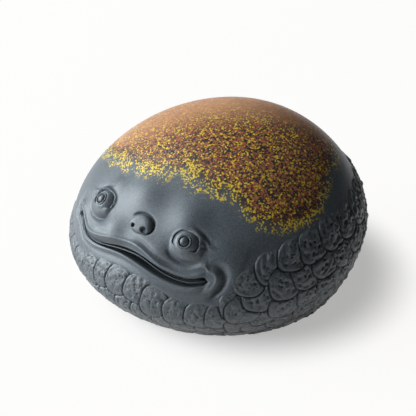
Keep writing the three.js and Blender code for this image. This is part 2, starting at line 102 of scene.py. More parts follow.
class ToadBody(bpy.types.PropertyGroup):
    """The plain round body."""

    half_width: length("Half width", "Half of the body's width", 46)
    front_reach: length("Front reach", "From the middle to the front", 43.6)
    back_reach: length("Back reach", "From the middle to the back", 41.2)
    height: length("Height", "Height of the body", 47.6)
    front_girth: length("Front girth", "Height of the widest line in front", 9.3)
    back_girth: length("Back girth", "Height of the widest line at the back", 26.3)
    crown_shift: length("Crown shift", "How far back the top lies", 15.2)
    foot_inset: length("Foot inset", "How far the foot lies inside the girth", 7.8)
    foot_ring: length("Foot ring", "Width of the ring that it stands on", 4)
    set_back: length("Set back", "How far the body's middle lies behind the model's origin", 1.0904)
    dome_power: share("Dome power", "How boxy the dome is", 1.74)
    belly_power: share("Belly power", "How boxy the belly is", 1.4)


class ToadMouth(bpy.types.PropertyGroup):
    """The mouth, its lips and the tongue."""

    half_width: length("Half width", "From the middle to the band of warts beside a corner", 26)
    left_corner: length("Left corner", "From the middle to the toad's left corner", 24.4)
    right_corner: length("Right corner", "From the middle to the toad's right corner", 26.4)
    height: length("Height", "Height of the mouth line", 21.4)
    bow: length("Bow", "Rise of the line at the middle and its fall at the dips", 1.35)
    left_dip: length("Left dip", "From the middle to the lowest place on the left", 19.5)
    right_dip: length("Right dip", "From the middle to the lowest place on the right", 18)
    left_rise: length("Left rise", "Rise of the line to the left corner", 0.8)
    right_rise: length("Right rise", "Rise of the line to the right corner", 2.2)
    opening: length("Opening", "Gap between the lips", 2.1)
    lip_round: length("Lip round", "Rounding of the lips' edges", 0.5)
    left_crest: length("Left crest", "Height of the upper lip's crest over the gap on the left", 0.7)
    right_crest: length("Right crest", "Height of the crest over the gap on the right", 1.8)
    crest: length("Crest", "How far the crest stands out", 0.5)
    undercut: length("Undercut", "How far the upper lip falls back under its crest", 0.6)
    bead: length("Bead", "How far the bead of the lower lip stands out", 0.3)
    crease: length("Crease", "Depth of the line where the lips are closed", 0.55)
    depth: length("Depth", "How far the lips run inwards", 7)
    tongue_edge: length("Tongue edge", "Thickness of the tongue's edge", 0.3)
    tongue_setback: length("Tongue set back", "How far the tongue lies inside the lips", 0.6)
    tongue_lift: length("Tongue lift", "How far the tongue lies over the middle of the gap", -0.35)


class ToadEyes(bpy.types.PropertyGroup):
    """The eyes."""

    left_out: length("Left out", "From the middle to the left eye", 15.4)
    left_height: length("Left height", "Height of the left eye", 28.5)
    right_out: length("Right out", "From the middle to the right eye", 16.2)
    right_height: length("Right height", "Height of the right eye", 29.2)
    radius: length("Radius", "Radius of an eyeball", 4.5)
    proud: length("Proud", "How far an eyeball stands out", 2.3)
    iris: length("Iris", "Radius of the ring round the pupil", 1.95)
    pupil: length("Pupil", "Radius of the pupil", 1.42)
    opening: length("Opening", "Half of the way from corner to corner", 5.5)
    opening_shift: length("Opening shift", "How far the opening lies outwards of the ball", 0.9)
    slant: length("Slant", "How far the outer corner lies under the middle", 0.6)
    upper_lid: length("Upper lid", "Height of the upper lid's edge over the corners", 2.9)
    lower_lid: length("Lower lid", "Depth of the lower lid's edge under the corners", 2.1)
    lid: length("Lid", "Thickness of the upper lid", 0.25)
    bag: length("Bag", "Reach of the bag under an eye", 5.4)
    bag_height: length("Bag height", "How high the bag lies over the ball's middle", 3.7)


class ToadNose(bpy.types.PropertyGroup):
    """The nose."""

    out: length("Out", "From the middle of the face to the nose", 0.6)
    height: length("Height", "Height of the nose", 29.4)
    half_width: length("Half width", "Half of its width", 3.8)
    half_height: length("Half height", "Half of its height", 2.9)
    proud: length("Proud", "How far it stands out", 1.35)
    root: length("Root", "How far it runs into the skin", 2.5)
    groove: length("Groove", "Depth of the groove over it", 0.75)
    nostril: length("Nostril", "Radius of a nostril", 0.62)
    nostril_depth: length("Nostril depth", "Depth of a nostril", 1.5)
    nostril_drop: length("Nostril drop", "How far the nostrils lie under the middle", 1.25)
    left_nostril: length("Left nostril", "From the nose's middle to the left nostril", 2.1)
    right_nostril: length("Right nostril", "From the nose's middle to the right nostril", 1.8)


class ToadBase(bpy.types.PropertyGroup):
    """The slab under the hollow body."""

    thickness: length("Thickness", "Thickness of the slab", 4)
    rounding: length("Rounding", "Width of the slab's bevels", 0.6)
    gap: length("Gap", "Gap between the slab and the wall", 0.4)
    lift: length("Lift", "How far the slab lies over the floor", 0.05)
    vent: length("Vent", "Radius of the kiln vent", 5)


class ToadWarts(bpy.types.PropertyGroup):
    """The pressed warts round the lower half."""

    columns: count("Columns", "Strips of warts round the body", 34)
    radius: length("Radius", "Radius of a wart in front", 4.3)
    row_pitch: length("Row pitch", "Way from one row of warts to the next", 5.6)
    side_pitch: length("Side pitch", "Way from one wart to the next one of its row", 6.4)
    flank_growth: share("Flank growth", "How much larger the warts of the flanks are", 1.14)
    dome: length("Dome", "How far the middle of a wart stands out in front", 0.3)
    flank_dome: length("Flank dome", "How far it stands out on the flanks", 0.36)
    rim: length("Rim", "Height of the smooth ring inside the edge", 0.06)
    tilt: length("Tilt", "How far a wart leans down to its top and to its left", 0.12)
    tuck: length("Tuck", "How far the top edge is tucked in", 0.4)
    wrinkle: length("Wrinkle", "Height of the waves on a wart in front", 0.026)
    flank_wrinkle: length("Flank wrinkle", "What the waves gain on the flanks", 0.03)
    pit: length("Pit", "Depth of the deepest pits in front", 0.2)
    relief: length("Relief", "How far the edge of a wart falls", 0.4)
    overlap: length("Overlap", "How far a wart sinks under the one that lies over it", 0.8)
    back: length("Back", "How deep the back of a wart lies under the skin", 2.2)
    bed: length("Bed", "How deep the warts' bed lies under the skin", 0.9)
    bed_edge: length("Bed edge", "How deep the skin falls at the edge of the bed", 0.25)
    jaw_strip: length("Jaw strip", "Smooth clay under the mouth", 3.2)
    corner_strip: length("Corner strip", "Smooth clay under the corners of the mouth", 5.2)
    top_at_mouth: length("Top at the mouth", "Height of the band beside the mouth", 20.8)
    top_at_back: length("Top at the back", "Height of the band at the back", 33.8)
    rise_angle: turning("Rise", "Turn over which the band rises", 30)
    right_delay: turning("Right delay", "How much farther back the band rises on the right", 38)
    fold_ring: length("Fold ring", "Radius of the fold round a corner of the mouth", 4.6)


class ToadClay(bpy.types.PropertyGroup):
    """The clays."""

    body: colour("Body", "Clay of the body", (0.104, 0.119, 0.132))
    wart: colour("Warts", "Clay of the warts", (0.104, 0.116, 0.125))
    eye: colour("Eyes", "Burnished clay of the eyes", (0.118, 0.136, 0.150))
    pupil: colour("Pupils", "Darker clay of the pupils", (0.058, 0.065, 0.071))
    gold: colour("Gold grains", "Grains at the edge of the patch", (0.86, 0.59, 0.05))
    rust: colour("Rust grains", "Grains in the middle of the patch", (0.42, 0.135, 0.062))
    ground: colour("Ground", "Dark clay between the grains", (0.035, 0.032, 0.031))
    # Painted sheen: a lighter, smooth colour laid over the grains on the far top of the back.
    painted_sheen: colour("Sheen", "Tea stain on the back", (0.78, 0.40, 0.215))
    grain: length("Grain", "Size of a grain", 0.43)


class ToadStage(bpy.types.PropertyGroup):
    """Camera, light and floor."""

    azimuth: turning("Azimuth", "How far the camera stands round to the toad's left", 40.44)
    elevation: turning("Elevation", "How far the camera looks down", 30.5)
    distance: length("Distance", "From the camera to the toad", 297.65)
    aim_right: length("Aim right", "How far the view is moved sideways", -2.73)
    aim_height: length("Aim height", "Height that the camera aims at", 19.54)
    lens: FloatProperty(name="Lens", description="Focal length in millimetres", default=85)
    key: FloatProperty(name="Key", description="Strength of the side light", default=18, unit="POWER")
    key_size: length("Key size", "Side of the side light", 900)
    key_from: position("Key from", "Its place: right, up and to the camera", (-0.96, 0.24, 0.05))
    top: FloatProperty(name="Top", description="Strength of the high light", default=7, unit="POWER")
    top_size: length("Top size", "Side of the high light", 800)
    top_from: position("Top from", "Its place: right, up and to the camera", (-0.77, 0.64, 0))
    lamp: colour("Lamp", "Colour of both lights", (0.87, 0.95, 1))
    fill: share("Fill", "Strength of the light from all round", 0.06)
    room: colour("Room", "Colour of the light from all round", (0.93, 0.97, 1))
    paper: colour("Paper", "Colour of the floor where light falls on it", (0.98, 0.95, 0.92))
    white: colour("White", "Colour of the floor as the camera sees it", (1, 0.995, 0.985))
    shade: share("Shade", "Share of white in the shadow on the floor", 0.42)
    bare: share("Bare", "Share of white on the rest of the floor", 0.94)
    shade_aside: length("Shade aside", "How far right of the toad the shadow is centred", 12)
    shade_inner: length("Shade inner", "Reach of the full shadow", 34)
    shade_outer: length("Shade outer", "Reach of the whole shadow", 54)


class ToadSettings(bpy.types.PropertyGroup):
    """All that the panel shows."""

    body: PointerProperty(type=ToadBody)
    mouth: PointerProperty(type=ToadMouth)
    eyes: PointerProperty(type=ToadEyes)
    nose: PointerProperty(type=ToadNose)
    base: PointerProperty(type=ToadBase)
    warts: PointerProperty(type=ToadWarts)
    clay: PointerProperty(type=ToadClay)
    stage: PointerProperty(type=ToadStage)


def fields(group):
    """The properties of one group."""
    return [item for item in group.bl_rna.properties if item.identifier not in {"rna_type", "name"}]


def in_millimetres(group):
    """The values of one group, its lengths in millimetres."""
    values = {}
    for item in fields(group):
        value = getattr(group, item.identifier)
        is_length = getattr(item, "unit", "NONE") == "LENGTH"
        values[item.identifier] = value / MM if is_length else value
    return SimpleNamespace(**values)


def lerp(low, high, place):
    """The value that lies at place between low and high."""
    return low + (high - low) * place


def ease(value, low, high):
    """0 under low, 1 over high, and a smooth step between them."""
    step = np.clip((value - low) / (high - low), 0, 1)
    return step * step * (3 - 2 * step)


def swell(distance, width):
    """1 at no distance, falling off smoothly over width."""
    return np.exp(-((distance / width) ** 2))


def within(value, rising, falling):
    """1 between two smooth steps, each given by its two ends."""
    return ease(value, *rising) * (1 - ease(value, *falling))


def unit(vectors):
    """Vectors brought to a length of one."""
    return vectors / np.linalg.norm(vectors, axis=-1, keepdims=True)


def way_along(points):
    """The way from the first of a row of points to each of them."""
    return np.concatenate([[0], np.cumsum(np.linalg.norm(np.diff(points, axis=0), axis=1))])


def nearest_turn(turn):
    """The same turn, given as at most half a turn to either side."""
    return (turn + math.pi) % (2 * math.pi) - math.pi


class Form:
    """The plain round body in millimetres, and the lines of mouth and warts on it."""

    def __init__(self, settings):
        self.body = in_millimetres(settings.body)
        self.mouth = in_millimetres(settings.mouth)
        self.eyes = in_millimetres(settings.eyes)
        self.nose = in_millimetres(settings.nose)
        self.base = in_millimetres(settings.base)
        self.warts = in_millimetres(settings.warts)
        rise = self.rise_at(FRONT, self.mouth.height)
        self.mouth_ring = self.body.half_width * self.ring_scale(rise)
        self.dip = math.asin(self.mouth.right_dip / self.mouth_ring)
        self.corner = math.asin(self.mouth.half_width / self.mouth_ring)

    def girth_height(self, turn):
        """Height of the widest line, low in front and high at the back."""
        return lerp(self.body.front_girth, self.body.back_girth, (1 + np.sin(turn)) / 2)

    def ring_scale(self, rise):
        """Width of the body at a rise: -1 is the foot, 0 the girth and 1 the top."""
        foot = 1 - self.body.foot_inset / self.body.half_width
        dome = 1 - np.maximum(rise, 0) ** self.body.dome_power
        belly = 1 - (1 - foot**2) * np.maximum(-rise, 0) ** self.body.belly_power
        return np.sqrt(np.maximum(0, np.where(rise >= 0, dome, belly)))

    def point(self, turn, rise):
        """The place on the plain body at a turn and a rise."""
        body = self.body
        scale = self.ring_scale(rise)
        girth = self.girth_height(turn)
        reach = np.where(np.sin(turn) < 0, body.front_reach, body.back_reach)
        shift = np.where(rise > 0, body.crown_shift * (1 - scale), 0)
        over = girth + (body.height - girth) * rise
        height = np.where(rise > 0, over, girth * (1 + rise))
        across = body.half_width * np.cos(turn) * scale
        back = reach * np.sin(turn) * scale + shift + body.set_back
        return np.stack(np.broadcast_arrays(across, back, height), axis=-1)

    def normal(self, turn, rise):
        """The direction outwards."""
        small = 1e-4
        rise = np.minimum(rise, 1 - 3 * small)
        along = self.point(turn + small, rise) - self.point(turn - small, rise)
        up = self.point(turn, rise + small) - self.point(turn, rise - small)
        return unit(np.cross(along, up))

    def rise_at(self, turn, height):
        """The rise that lies at a height."""
        girth = self.girth_height(turn)
        over = (height - girth) / (self.body.height - girth)
        return np.where(height > girth, over, height / girth - 1)

    def face_turn(self, out, height):
        """The turn of the place that a front view shows at that width and height."""
        turn = FRONT
        for _ in range(12):
            ring = self.body.half_width * self.ring_scale(self.rise_at(turn, height))
            turn = -math.acos(max(-1, min(1, out / ring)))
        return turn

    def face_frame(self, out, height):
        """A place on the face and its directions across, up and outwards."""
        turn = self.face_turn(out, height)
        return self.frame_at(turn, self.rise_at(turn, height))

    def eye_frame(self, side):
        """The place of an eye and its directions."""
        eyes = self.eyes
        if side > 0:
            return self.face_frame(eyes.left_out, eyes.left_height)
        return self.face_frame(-eyes.right_out, eyes.right_height)

    def frame_at(self, turn, rise):
        """A place on the body and its directions across, up and outwards."""
        normal = self.normal(turn, rise)
        across = unit(np.cross((0, 0, 1), normal))
        up = np.cross(normal, across)
        return SimpleNamespace(origin=self.point(turn, rise), across=across, up=up, normal=normal)

    def from_front(self, turn):
        """How far a turn lies from the front, on either side."""
        return np.abs(np.arctan2(np.cos(turn), -np.sin(turn)))

    def by_side(self, turn, left, right):
        """A value for the toad's left half and another one for its right half."""
        return np.where(np.cos(turn) > 0, left, right)

    def mouth_place(self, turn):
        """-1 at the right corner of the mouth, 0 in the middle and 1 at the left corner."""
        corner = self.by_side(turn, self.mouth.left_corner, self.mouth.right_corner)
        signed = np.arctan2(np.cos(turn), -np.sin(turn))
        return signed / np.arcsin(corner / self.mouth_ring)

    def seam_height(self, turn):
        """Height of the mouth line."""
        mouth = self.mouth
        dip = self.by_side(turn, mouth.left_dip, mouth.right_dip)
        angle = self.from_front(turn) / np.arcsin(dip / self.mouth_ring)
        corner = self.by_side(turn, mouth.left_corner, mouth.right_corner) / dip
        bow = np.cos(math.pi * np.minimum(1, angle))
        rise = self.by_side(turn, mouth.left_rise, mouth.right_rise)
        return mouth.height + mouth.bow * bow + rise * ease(angle, 1.0, corner)

    def openness(self, turn):
        """1 where the mouth is wide open, 0 where it is closed."""
        place = self.mouth_place(turn)
        return within(place, (-0.96, 0.35), (0.94, 1.0))

    def band_top(self, turn):
        """Height of the band of warts: under the mouth's smooth strip, rising on the flanks."""
        warts = self.warts
        angle = self.from_front(turn)
        delay = self.by_side(turn, 0, warts.right_delay)
        past = np.maximum(0, angle - self.corner - delay)
        strip = lerp(warts.jaw_strip, warts.corner_strip, ease(angle, self.dip / 2, self.corner))
        jaw = self.seam_height(turn) - strip
        climb = 1 - np.exp(-past / warts.rise_angle)
        flank = lerp(warts.top_at_mouth, warts.top_at_back, climb)
        join = warts.fold_ring / self.mouth_ring
        return lerp(jaw, flank, ease(past, join / 2, join * 2))

    def meridian(self, turn, low=-1.35, high=1.0, steps=1600):
        """Rises up the wall at one turn, and the way from the floor to each of them."""
        rises = np.linspace(low, high, steps)
        way = way_along(self.point(turn, rises))
        return rises, way - np.interp(-1, rises, way)


# Swellings of the face: way out from the middle, height, relief and spread in millimetres
SWELLINGS = (
    (13.2, 32.6, 1.2, 5.2), (-4.0, 34.6, 1.0, 5.5), (-14.5, 33.0, 0.8, 3.6), (4.5, 34.8, -0.2, 4.2),
    (26.0, 26.5, 0.7, 6.0), (-26.0, 26.5, 0.5, 6.0),
    (9.0, 24.8, 0.8, 4.0), (3.0, 25.6, 0.6, 4.0), (-8.0, 25.4, 1.3, 4.2), (-14.5, 23.6, 0.6, 3.2),
    (16.5, 25.4, -0.5, 2.6), (-14.5, 26.2, -0.9, 2.6),
)
# Ends of the mouth by side: way out, depth and radius of the pit, depth of the groove in millimetres
CORNERS = {1: (24.0, 0.3, 2.0, 1.25), -1: (25.6, 1.3, 1.2, 0.6)}


class Sculpt:
    """The relief of the skin: how far each place is raised over the plain body, in millimetres."""

    def __init__(self, form):
        self.form = form

    def chart(self, place, points, side=1):
        """Points seen from a place: outwards along the face, and up."""
        apart = points - place.origin
        return side * (apart @ place.across), apart @ place.up

    def relief(self, turn, rise, over):
        """How far each place is raised; over is its way up from the mouth line."""
        form = self.form
        points = form.point(turn, rise)
        front = np.where(np.sin(turn) < 0.1, 1.0, 0.0)
        raised = self.swellings(points)
        raised += front * self.lips(turn, over)
        for side, (out, pit, wide, groove) in CORNERS.items():
            raised += front * self.corner(side * points[..., 0] - out, over, pit, wide, groove)
        raised += front * self.nose(points)
        for side in SIDES.values():
            raised = self.eye(points, side, raised)
        raised -= self.wart_bed(turn, points[..., 2])
        return raised

    def swellings(self, points):
        """Lobes of the forehead, cheeks and the thick roll of the muzzle, with hollows between them."""
        raised = np.zeros(points.shape[:-1])
        for out, height, rise, spread in SWELLINGS:
            centre = self.form.face_frame(out, height).origin
            raised += rise * swell(np.linalg.norm(points - centre, axis=-1), spread)
        return raised

    def lips(self, turn, over):
        """A crest over an undercut band on the upper lip, a thin bead on the lower one."""
        form, mouth = self.form, self.form.mouth
        place = form.mouth_place(turn)
        along = within(place, (-1.06, -0.96), (0.84, 1.02))
        crest = lerp(mouth.right_crest, mouth.left_crest, ease(place, 0.05, 0.5))
        under = np.clip((crest - over) / (crest - 0.2), 0, 1)
        upper = mouth.crest * swell(over - crest, 0.55) - mouth.undercut * under**1.5
        beside = within(place, (-0.05, 0.15), (0.5, 0.7))
        upper -= 0.45 * beside * swell(over - crest - 1.5, 0.7)
        lower = mouth.bead * swell(over + 0.4, 0.4) - 0.2 * swell(over + 1.5, 0.7)
        crease = mouth.crease * (1 - form.openness(turn)) * swell(over, 0.4)
        return along * (np.where(over > 0, upper, lower) - crease)

    def corner(self, out, over, pit, wide, groove):
        """The end of the mouth: a pad or pit ringed by a thin rim and a soft groove."""
        rim = 2.9
        fold = self.form.warts.fold_ring
        away = np.hypot(np.maximum(out, 0) / 0.85, over)
        way = np.degrees(np.arctan2(over, np.maximum(out, 1e-6)))
        near = within(out, (-5, 0.3), (10, 13))
        ring = near * ease(way, -85, -35)
        raised = -pit * ease(out, -3, 0.5) * near * (1 - ease(away, 0.25 * wide, wide))
        raised += 0.35 * ring * swell(away - rim, 0.45)
        soft = ring * ease(out, -4.5, 1.0) * lerp(0.35, 1.0, ease(out, -0.5, 3.5))
        return raised - groove * soft * swell(away - fold, np.where(away < fold, 0.8, 1.2))

    def eye(self, points, side, raised):
        """Lids drawn over the ball, a soft bag under it and a fold over its outer half."""
        eyes = self.form.eyes
        place = self.form.eye_frame(side)
        out, up = self.chart(place, points, side)
        drop = (points - place.origin) @ place.normal
        away = np.linalg.norm(points - place.origin, axis=-1)
        sink = eyes.proud - eyes.radius - drop

        def ball(reach, radius):
            return sink + np.sqrt(np.maximum(0, radius**2 - reach**2))

        across = (out - eyes.opening_shift) / eyes.opening
        middle = -eyes.slant * across
        arch = np.maximum(0, 1 - across**2)
        upper_edge = up - middle - eyes.upper_lid * arch**0.65 * (1 - 0.35 * across)
        lower_edge = middle - up - eyes.lower_lid * arch**0.5
        edge = np.where(up > middle, upper_edge, lower_edge)
        pouch = np.hypot(0.85 * (out - 0.3), up - middle) / eyes.bag
        upper_lid = ball(np.hypot(np.where(out > 0, 0.75, 0.9) * out, up), eyes.radius + eyes.lid)
        bag = sink + eyes.bag_height * np.sqrt(np.maximum(0, 1 - pouch**3))
        lid = lerp(bag, upper_lid, ease(up - middle, -0.5, 0.3))
        lid -= 1.2 * ease(-across, 0.8, 1.15) + 0.7 * ease(across, 0.6, 1.0)
        lids = np.logaddexp(4 * raised, 4 * lid) / 4
        below = ease(middle - up, -0.5, 1.5) * within(across, (-1.2, -0.8), (0.3, 1.0))
        lids -= 0.2 * swell(up - middle, 0.35) * within(across, (0.45, 0.65), (0.95, 1.2))
        lids -= 0.45 * below * swell(pouch - 1.05, 0.11)
        beside = (1 - ease(np.abs(across - 0.1), 0.7, 1.5)) * ease(up - middle, -0.8, 0.4)
        outer = ease(across, -0.2, 0.4) * (1.0 if side > 0 else 0.5)
        lids += beside * outer * 0.5 * swell(upper_edge - 0.8, 0.5)
        lids -= beside * outer * 0.25 * swell(upper_edge - 2.0, 0.6)
        stands = ball(away, eyes.radius) - raised
        floor = raised - 0.1 - 0.5 * ease(stands, -0.3, 0.3)
        opened = (1 - ease(edge, -0.22, 0.05)) * ease(arch, 0.05, 0.3) * ease(stands, -0.2, 0.1)
        near = 1 - ease(away, 8, 11)
        return raised + near * (lerp(lids, floor, opened) - raised)

    def nose(self, points):
        """A groove over the nose and on its left side."""
        nose = self.form.nose
        place = self.form.face_frame(nose.out, nose.height)
        out, up = self.chart(place, points)
        size = np.hypot(out / nose.half_width, up / nose.half_height)
        turned = ease(up / nose.half_height + 0.8 * out / nose.half_width, -0.5, 0.6)
        return -nose.groove * turned * swell((size - 1.06) * 3.5, 0.4)

    def wart_bed(self, turn, height):
        """How far the skin lies lower under the warts, with a soft slope over their top edge."""
        form, warts = self.form, self.form.warts
        top = form.band_top(turn) + 0.3
        slope = lerp(2.4, 10, ease(form.from_front(turn), form.corner, 2 * form.corner))
        edge = warts.bed_edge * (1 - ease(height, top, top + slope))
        return edge + (warts.bed - warts.bed_edge) * (1 - ease(height, top - 2.5, top - 0.6))


def stop(reason):
    """Ends the script where a piece can't be made."""
    raise RuntimeError(reason)


def select(pieces):
    """Selects these pieces only, the first one as the active one."""
    bpy.ops.object.select_all(action="DESELECT")
    for piece in pieces:
        piece.select_set(True)
    bpy.context.view_layer.objects.active = pieces[0]


def read(items, name, width=3, kind=float):
    """One value of every item, as rows of that width."""
    flat = np.empty(width * len(items), dtype=kind)
    items.foreach_get(name, flat)
    return flat.reshape(-1, width)


def add_grid(name, places):
    """A grid primitive, its points moved to the places given by row and column in millimetres."""
    rows, columns = places.shape[0] - 1, places.shape[1] - 1
    bpy.ops.object.select_all(action="DESELECT")
    bpy.ops.mesh.primitive_grid_add(x_subdivisions=columns, y_subdivisions=rows, size=2)
    piece = bpy.context.object
    piece.name = piece.data.name = name
    vertices = piece.data.vertices
    if len(vertices) != (rows + 1) * (columns + 1):
        stop(f"the grid of {name} has {len(vertices)} points")
    flat = read(vertices, "co")
    column = np.rint((flat[:, 0] + 1) / 2 * columns).astype(int)
    row = np.rint((flat[:, 1] + 1) / 2 * rows).astype(int)
    vertices.foreach_set("co", (places[row, column] * MM).ravel())
    piece.data.update()
    return piece, row, column


def mark(piece, name, values):
    """Stores one number for each point."""
    attribute = piece.data.attributes.new(name, "FLOAT", "POINT")
    attribute.data.foreach_set("value", np.ascontiguousarray(values, dtype=np.float32).ravel())


def weld(piece, apart=2e-6):
    """Closes seams and poles."""
    bpy.ops.object.mode_set(mode="EDIT")
    bpy.ops.mesh.select_all(action="SELECT")
    bpy.ops.mesh.remove_doubles(threshold=apart)
    bpy.ops.mesh.dissolve_degenerate(threshold=1e-7)
    bpy.ops.mesh.select_all(action="SELECT")
    bpy.ops.mesh.normals_make_consistent(inside=False)
    bpy.ops.object.mode_set(mode="OBJECT")


def mark_relief(piece, passes=3):
    """Stores where the clay is bent outwards, as on a crest, or inwards, as in a crease."""
    mesh = piece.data
    total = len(mesh.vertices)
    places = read(mesh.vertices, "co")
    normals = read(mesh.vertices, "normal")
    start, end = read(mesh.edges, "vertices", 2, np.int32).T
    here = np.concatenate([start, end])
    there = np.concatenate([end, start])
    neighbours = np.maximum(np.bincount(here, minlength=total), 1)
    apart = places[there] - places[here]
    dip = np.einsum("ij,ij->i", apart, normals[here])
    reach = np.linalg.norm(apart, axis=1)
    bend = -np.bincount(here, dip, total) / np.maximum(np.bincount(here, reach**2, total), 1e-12)
    bend *= MM
    for _ in range(passes):
        bend = 0.5 * bend + 0.5 * np.bincount(here, bend[there], total) / neighbours
    mark(piece, "relief", np.clip(bend, -2, 2))


def finish_piece(piece, slot, nodes):
    """Gives a piece its clay, hangs it under the root and hides the CAD nodes that it stands for."""
    mark_relief(piece)
    select([piece])
    bpy.ops.object.shade_smooth()
    piece.data.materials.clear()
    piece.data.materials.append(clays(bpy.context.scene.toad)[slot])
    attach(piece, "root")
    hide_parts(*nodes)


def add_solid(name, places, slot, node):
    """A closed piece from a grid whose edges meet."""
    piece, _, _ = add_grid(name, places)
    weld(piece)
    finish_piece(piece, slot, [node])


class Value:
    """A socket of a node tree, on which sums are written as they are read."""

    def __init__(self, clay, socket):
        self.clay = clay
        self.socket = socket

    def __add__(self, other):
        return self.clay.sum("ADD", self, other)

    def __sub__(self, other):
        return self.clay.sum("SUBTRACT", self, other)

    def __rsub__(self, other):
        return self.clay.sum("SUBTRACT", other, self)

    def __mul__(self, other):
        return self.clay.sum("MULTIPLY", self, other)

    __radd__ = __add__
    __rmul__ = __mul__


class Clay:
    """One material and its node tree."""

    def __init__(self, name):
        self.material = bpy.data.materials.new(name)
        self.material.use_nodes = True
        self.tree = self.material.node_tree
        self.tree.nodes.clear()

    def node(self, kind, settings, inputs, output=0):
        """Any node: its kind, its settings, the values or links of its sockets and the output to read."""
        node = self.tree.nodes.new(kind)
        for name, value in settings.items():
            setattr(node, name, value)
        for name, value in inputs.items():
            socket = node.inputs[name]
            if isinstance(value, Value):
                self.tree.links.new(value.socket, socket)
            else:
                socket.default_value = value
        return None if output is None else Value(self, node.outputs[output])

    def sum(self, operation, first, second):
        """A sum of two numbers."""
        return self.node("ShaderNodeMath", {"operation": operation}, {0: first, 1: second})

    def places(self):
        """The place on the piece."""
        return self.node("ShaderNodeTexCoord", {}, {}, "Object")

    def noise(self, size, detail=2.0, roughness=0.5, seed=0.0):
        """Even noise from 0 to 1 with grains of about that size in millimetres."""
        inputs = {"Vector": self.places(), "W": seed, "Scale": 1 / (size * MM)}
        inputs.update({"Detail": detail, "Roughness": roughness})
        return self.node("ShaderNodeTexNoise", {"noise_dimensions": "4D"}, inputs, "Fac")

    def grains(self, size):
        """Angular grains of about that size in millimetres: two random numbers for each of them."""
        inputs = {"Vector": self.places(), "Scale": 1 / (size * MM)}
        random = self.node("ShaderNodeTexVoronoi", {}, inputs, "Color")
        split = self.node("ShaderNodeSeparateColor", {}, {"Color": random}, "Red")
        return split, Value(self, split.socket.node.outputs["Green"])

    def stored(self, name):
        """A number that was stored for each point."""
        return self.node("ShaderNodeAttribute", {"attribute_name": name}, {}, "Fac")

    def step(self, value, low, high):
        """0 under low, 1 over high, and a smooth step between them."""
        inputs = {"Value": value, "From Min": low, "From Max": high}
        return self.node("ShaderNodeMapRange", {"interpolation_type": "SMOOTHSTEP"}, inputs)

    def mix(self, factor, first, second):
        """A colour between two colours."""
        inputs = {0: factor, 6: first, 7: second}
        return self.node("ShaderNodeMix", {"data_type": "RGBA"}, inputs, 2)

    def tint(self, colour, factor):
        """A colour made lighter or darker."""
        inputs = {0: colour, "Scale": factor}
        return self.node("ShaderNodeVectorMath", {"operation": "SCALE"}, inputs)

    def finish(self, colour, roughness, height, strength):
        """Joins colour, roughness and a bump of that strength to the surface."""
        bump = {"Strength": strength, "Distance": 0.12 * MM, "Height": height}
        inputs = {"Base Color": colour, "Roughness": roughness, "Specular IOR Level": 0.5}
        inputs["Normal"] = self.node("ShaderNodeBump", {}, bump)
        shader = self.node("ShaderNodeBsdfPrincipled", {}, inputs)
        self.node("ShaderNodeOutputMaterial", {}, {"Surface": shader}, None)
        return self.material


def fired_clay(name, tone, tones=None, burnish=0.0, creased=0.0):
    """Dark fired clay with a fine sandy grain, rubbed lighter on the crests, with painted shade in its
    creases and, on the warts, in the pits and in the grooves round each wart.
    """
    if name in bpy.data.materials:
        return bpy.data.materials[name]
    clay = Clay(name)
    relief = clay.stored("relief")
    grain = clay.noise(0.5, 3.0, 0.75)
    sand = clay.noise(0.28, 2.0, 0.6)
    cloud = clay.noise(9.0, 3.0, 0.55)
    crest = clay.step(relief, 0.02, 0.5)
    crease = clay.step(relief * -1, 0.02, 0.5)
    # Painted shade: the clay is coloured darker in creases, more so on the warts; the lighter crests are
    # rubbed wear.
    light = 0.9 + 0.2 * cloud + (grain - 0.5) * 1.9 + 0.3 * crest - (0.4 + 0.3 * creased) * crease
    height = 0.6 * grain + 0.4 * sand
    if creased:
        rough = clay.stored("rough")
        pits = clay.step(clay.noise(0.9, 2.0, 0.6, 5.1), 0.56, 0.68)
        height = height + 0.8 * clay.noise(1.3, 2.0, 0.5, 8.3) - 1.6 * pits
        # Painted shade in the pits: besides their bump dent they are coloured darker, more so on the
        # rough flanks.
        light = light - (0.2 + 0.4 * rough) * pits
        # Painted shade in the grooves: each wart is coloured darker near its edge and where another wart
        # lies over it.
        light = light * (1 - 0.8 * clay.step(clay.stored("edge"), 0.9, 0.96))
    colour = clay.tint(tone, light)
    roughness = 0.4 - burnish + (grain - 0.5) * 0.3 + 0.12 * crease
    if tones is not None:
        colour = speckled(clay, colour, tones)
    return clay.finish(colour, roughness, height, 0.85 - 2.5 * burnish)


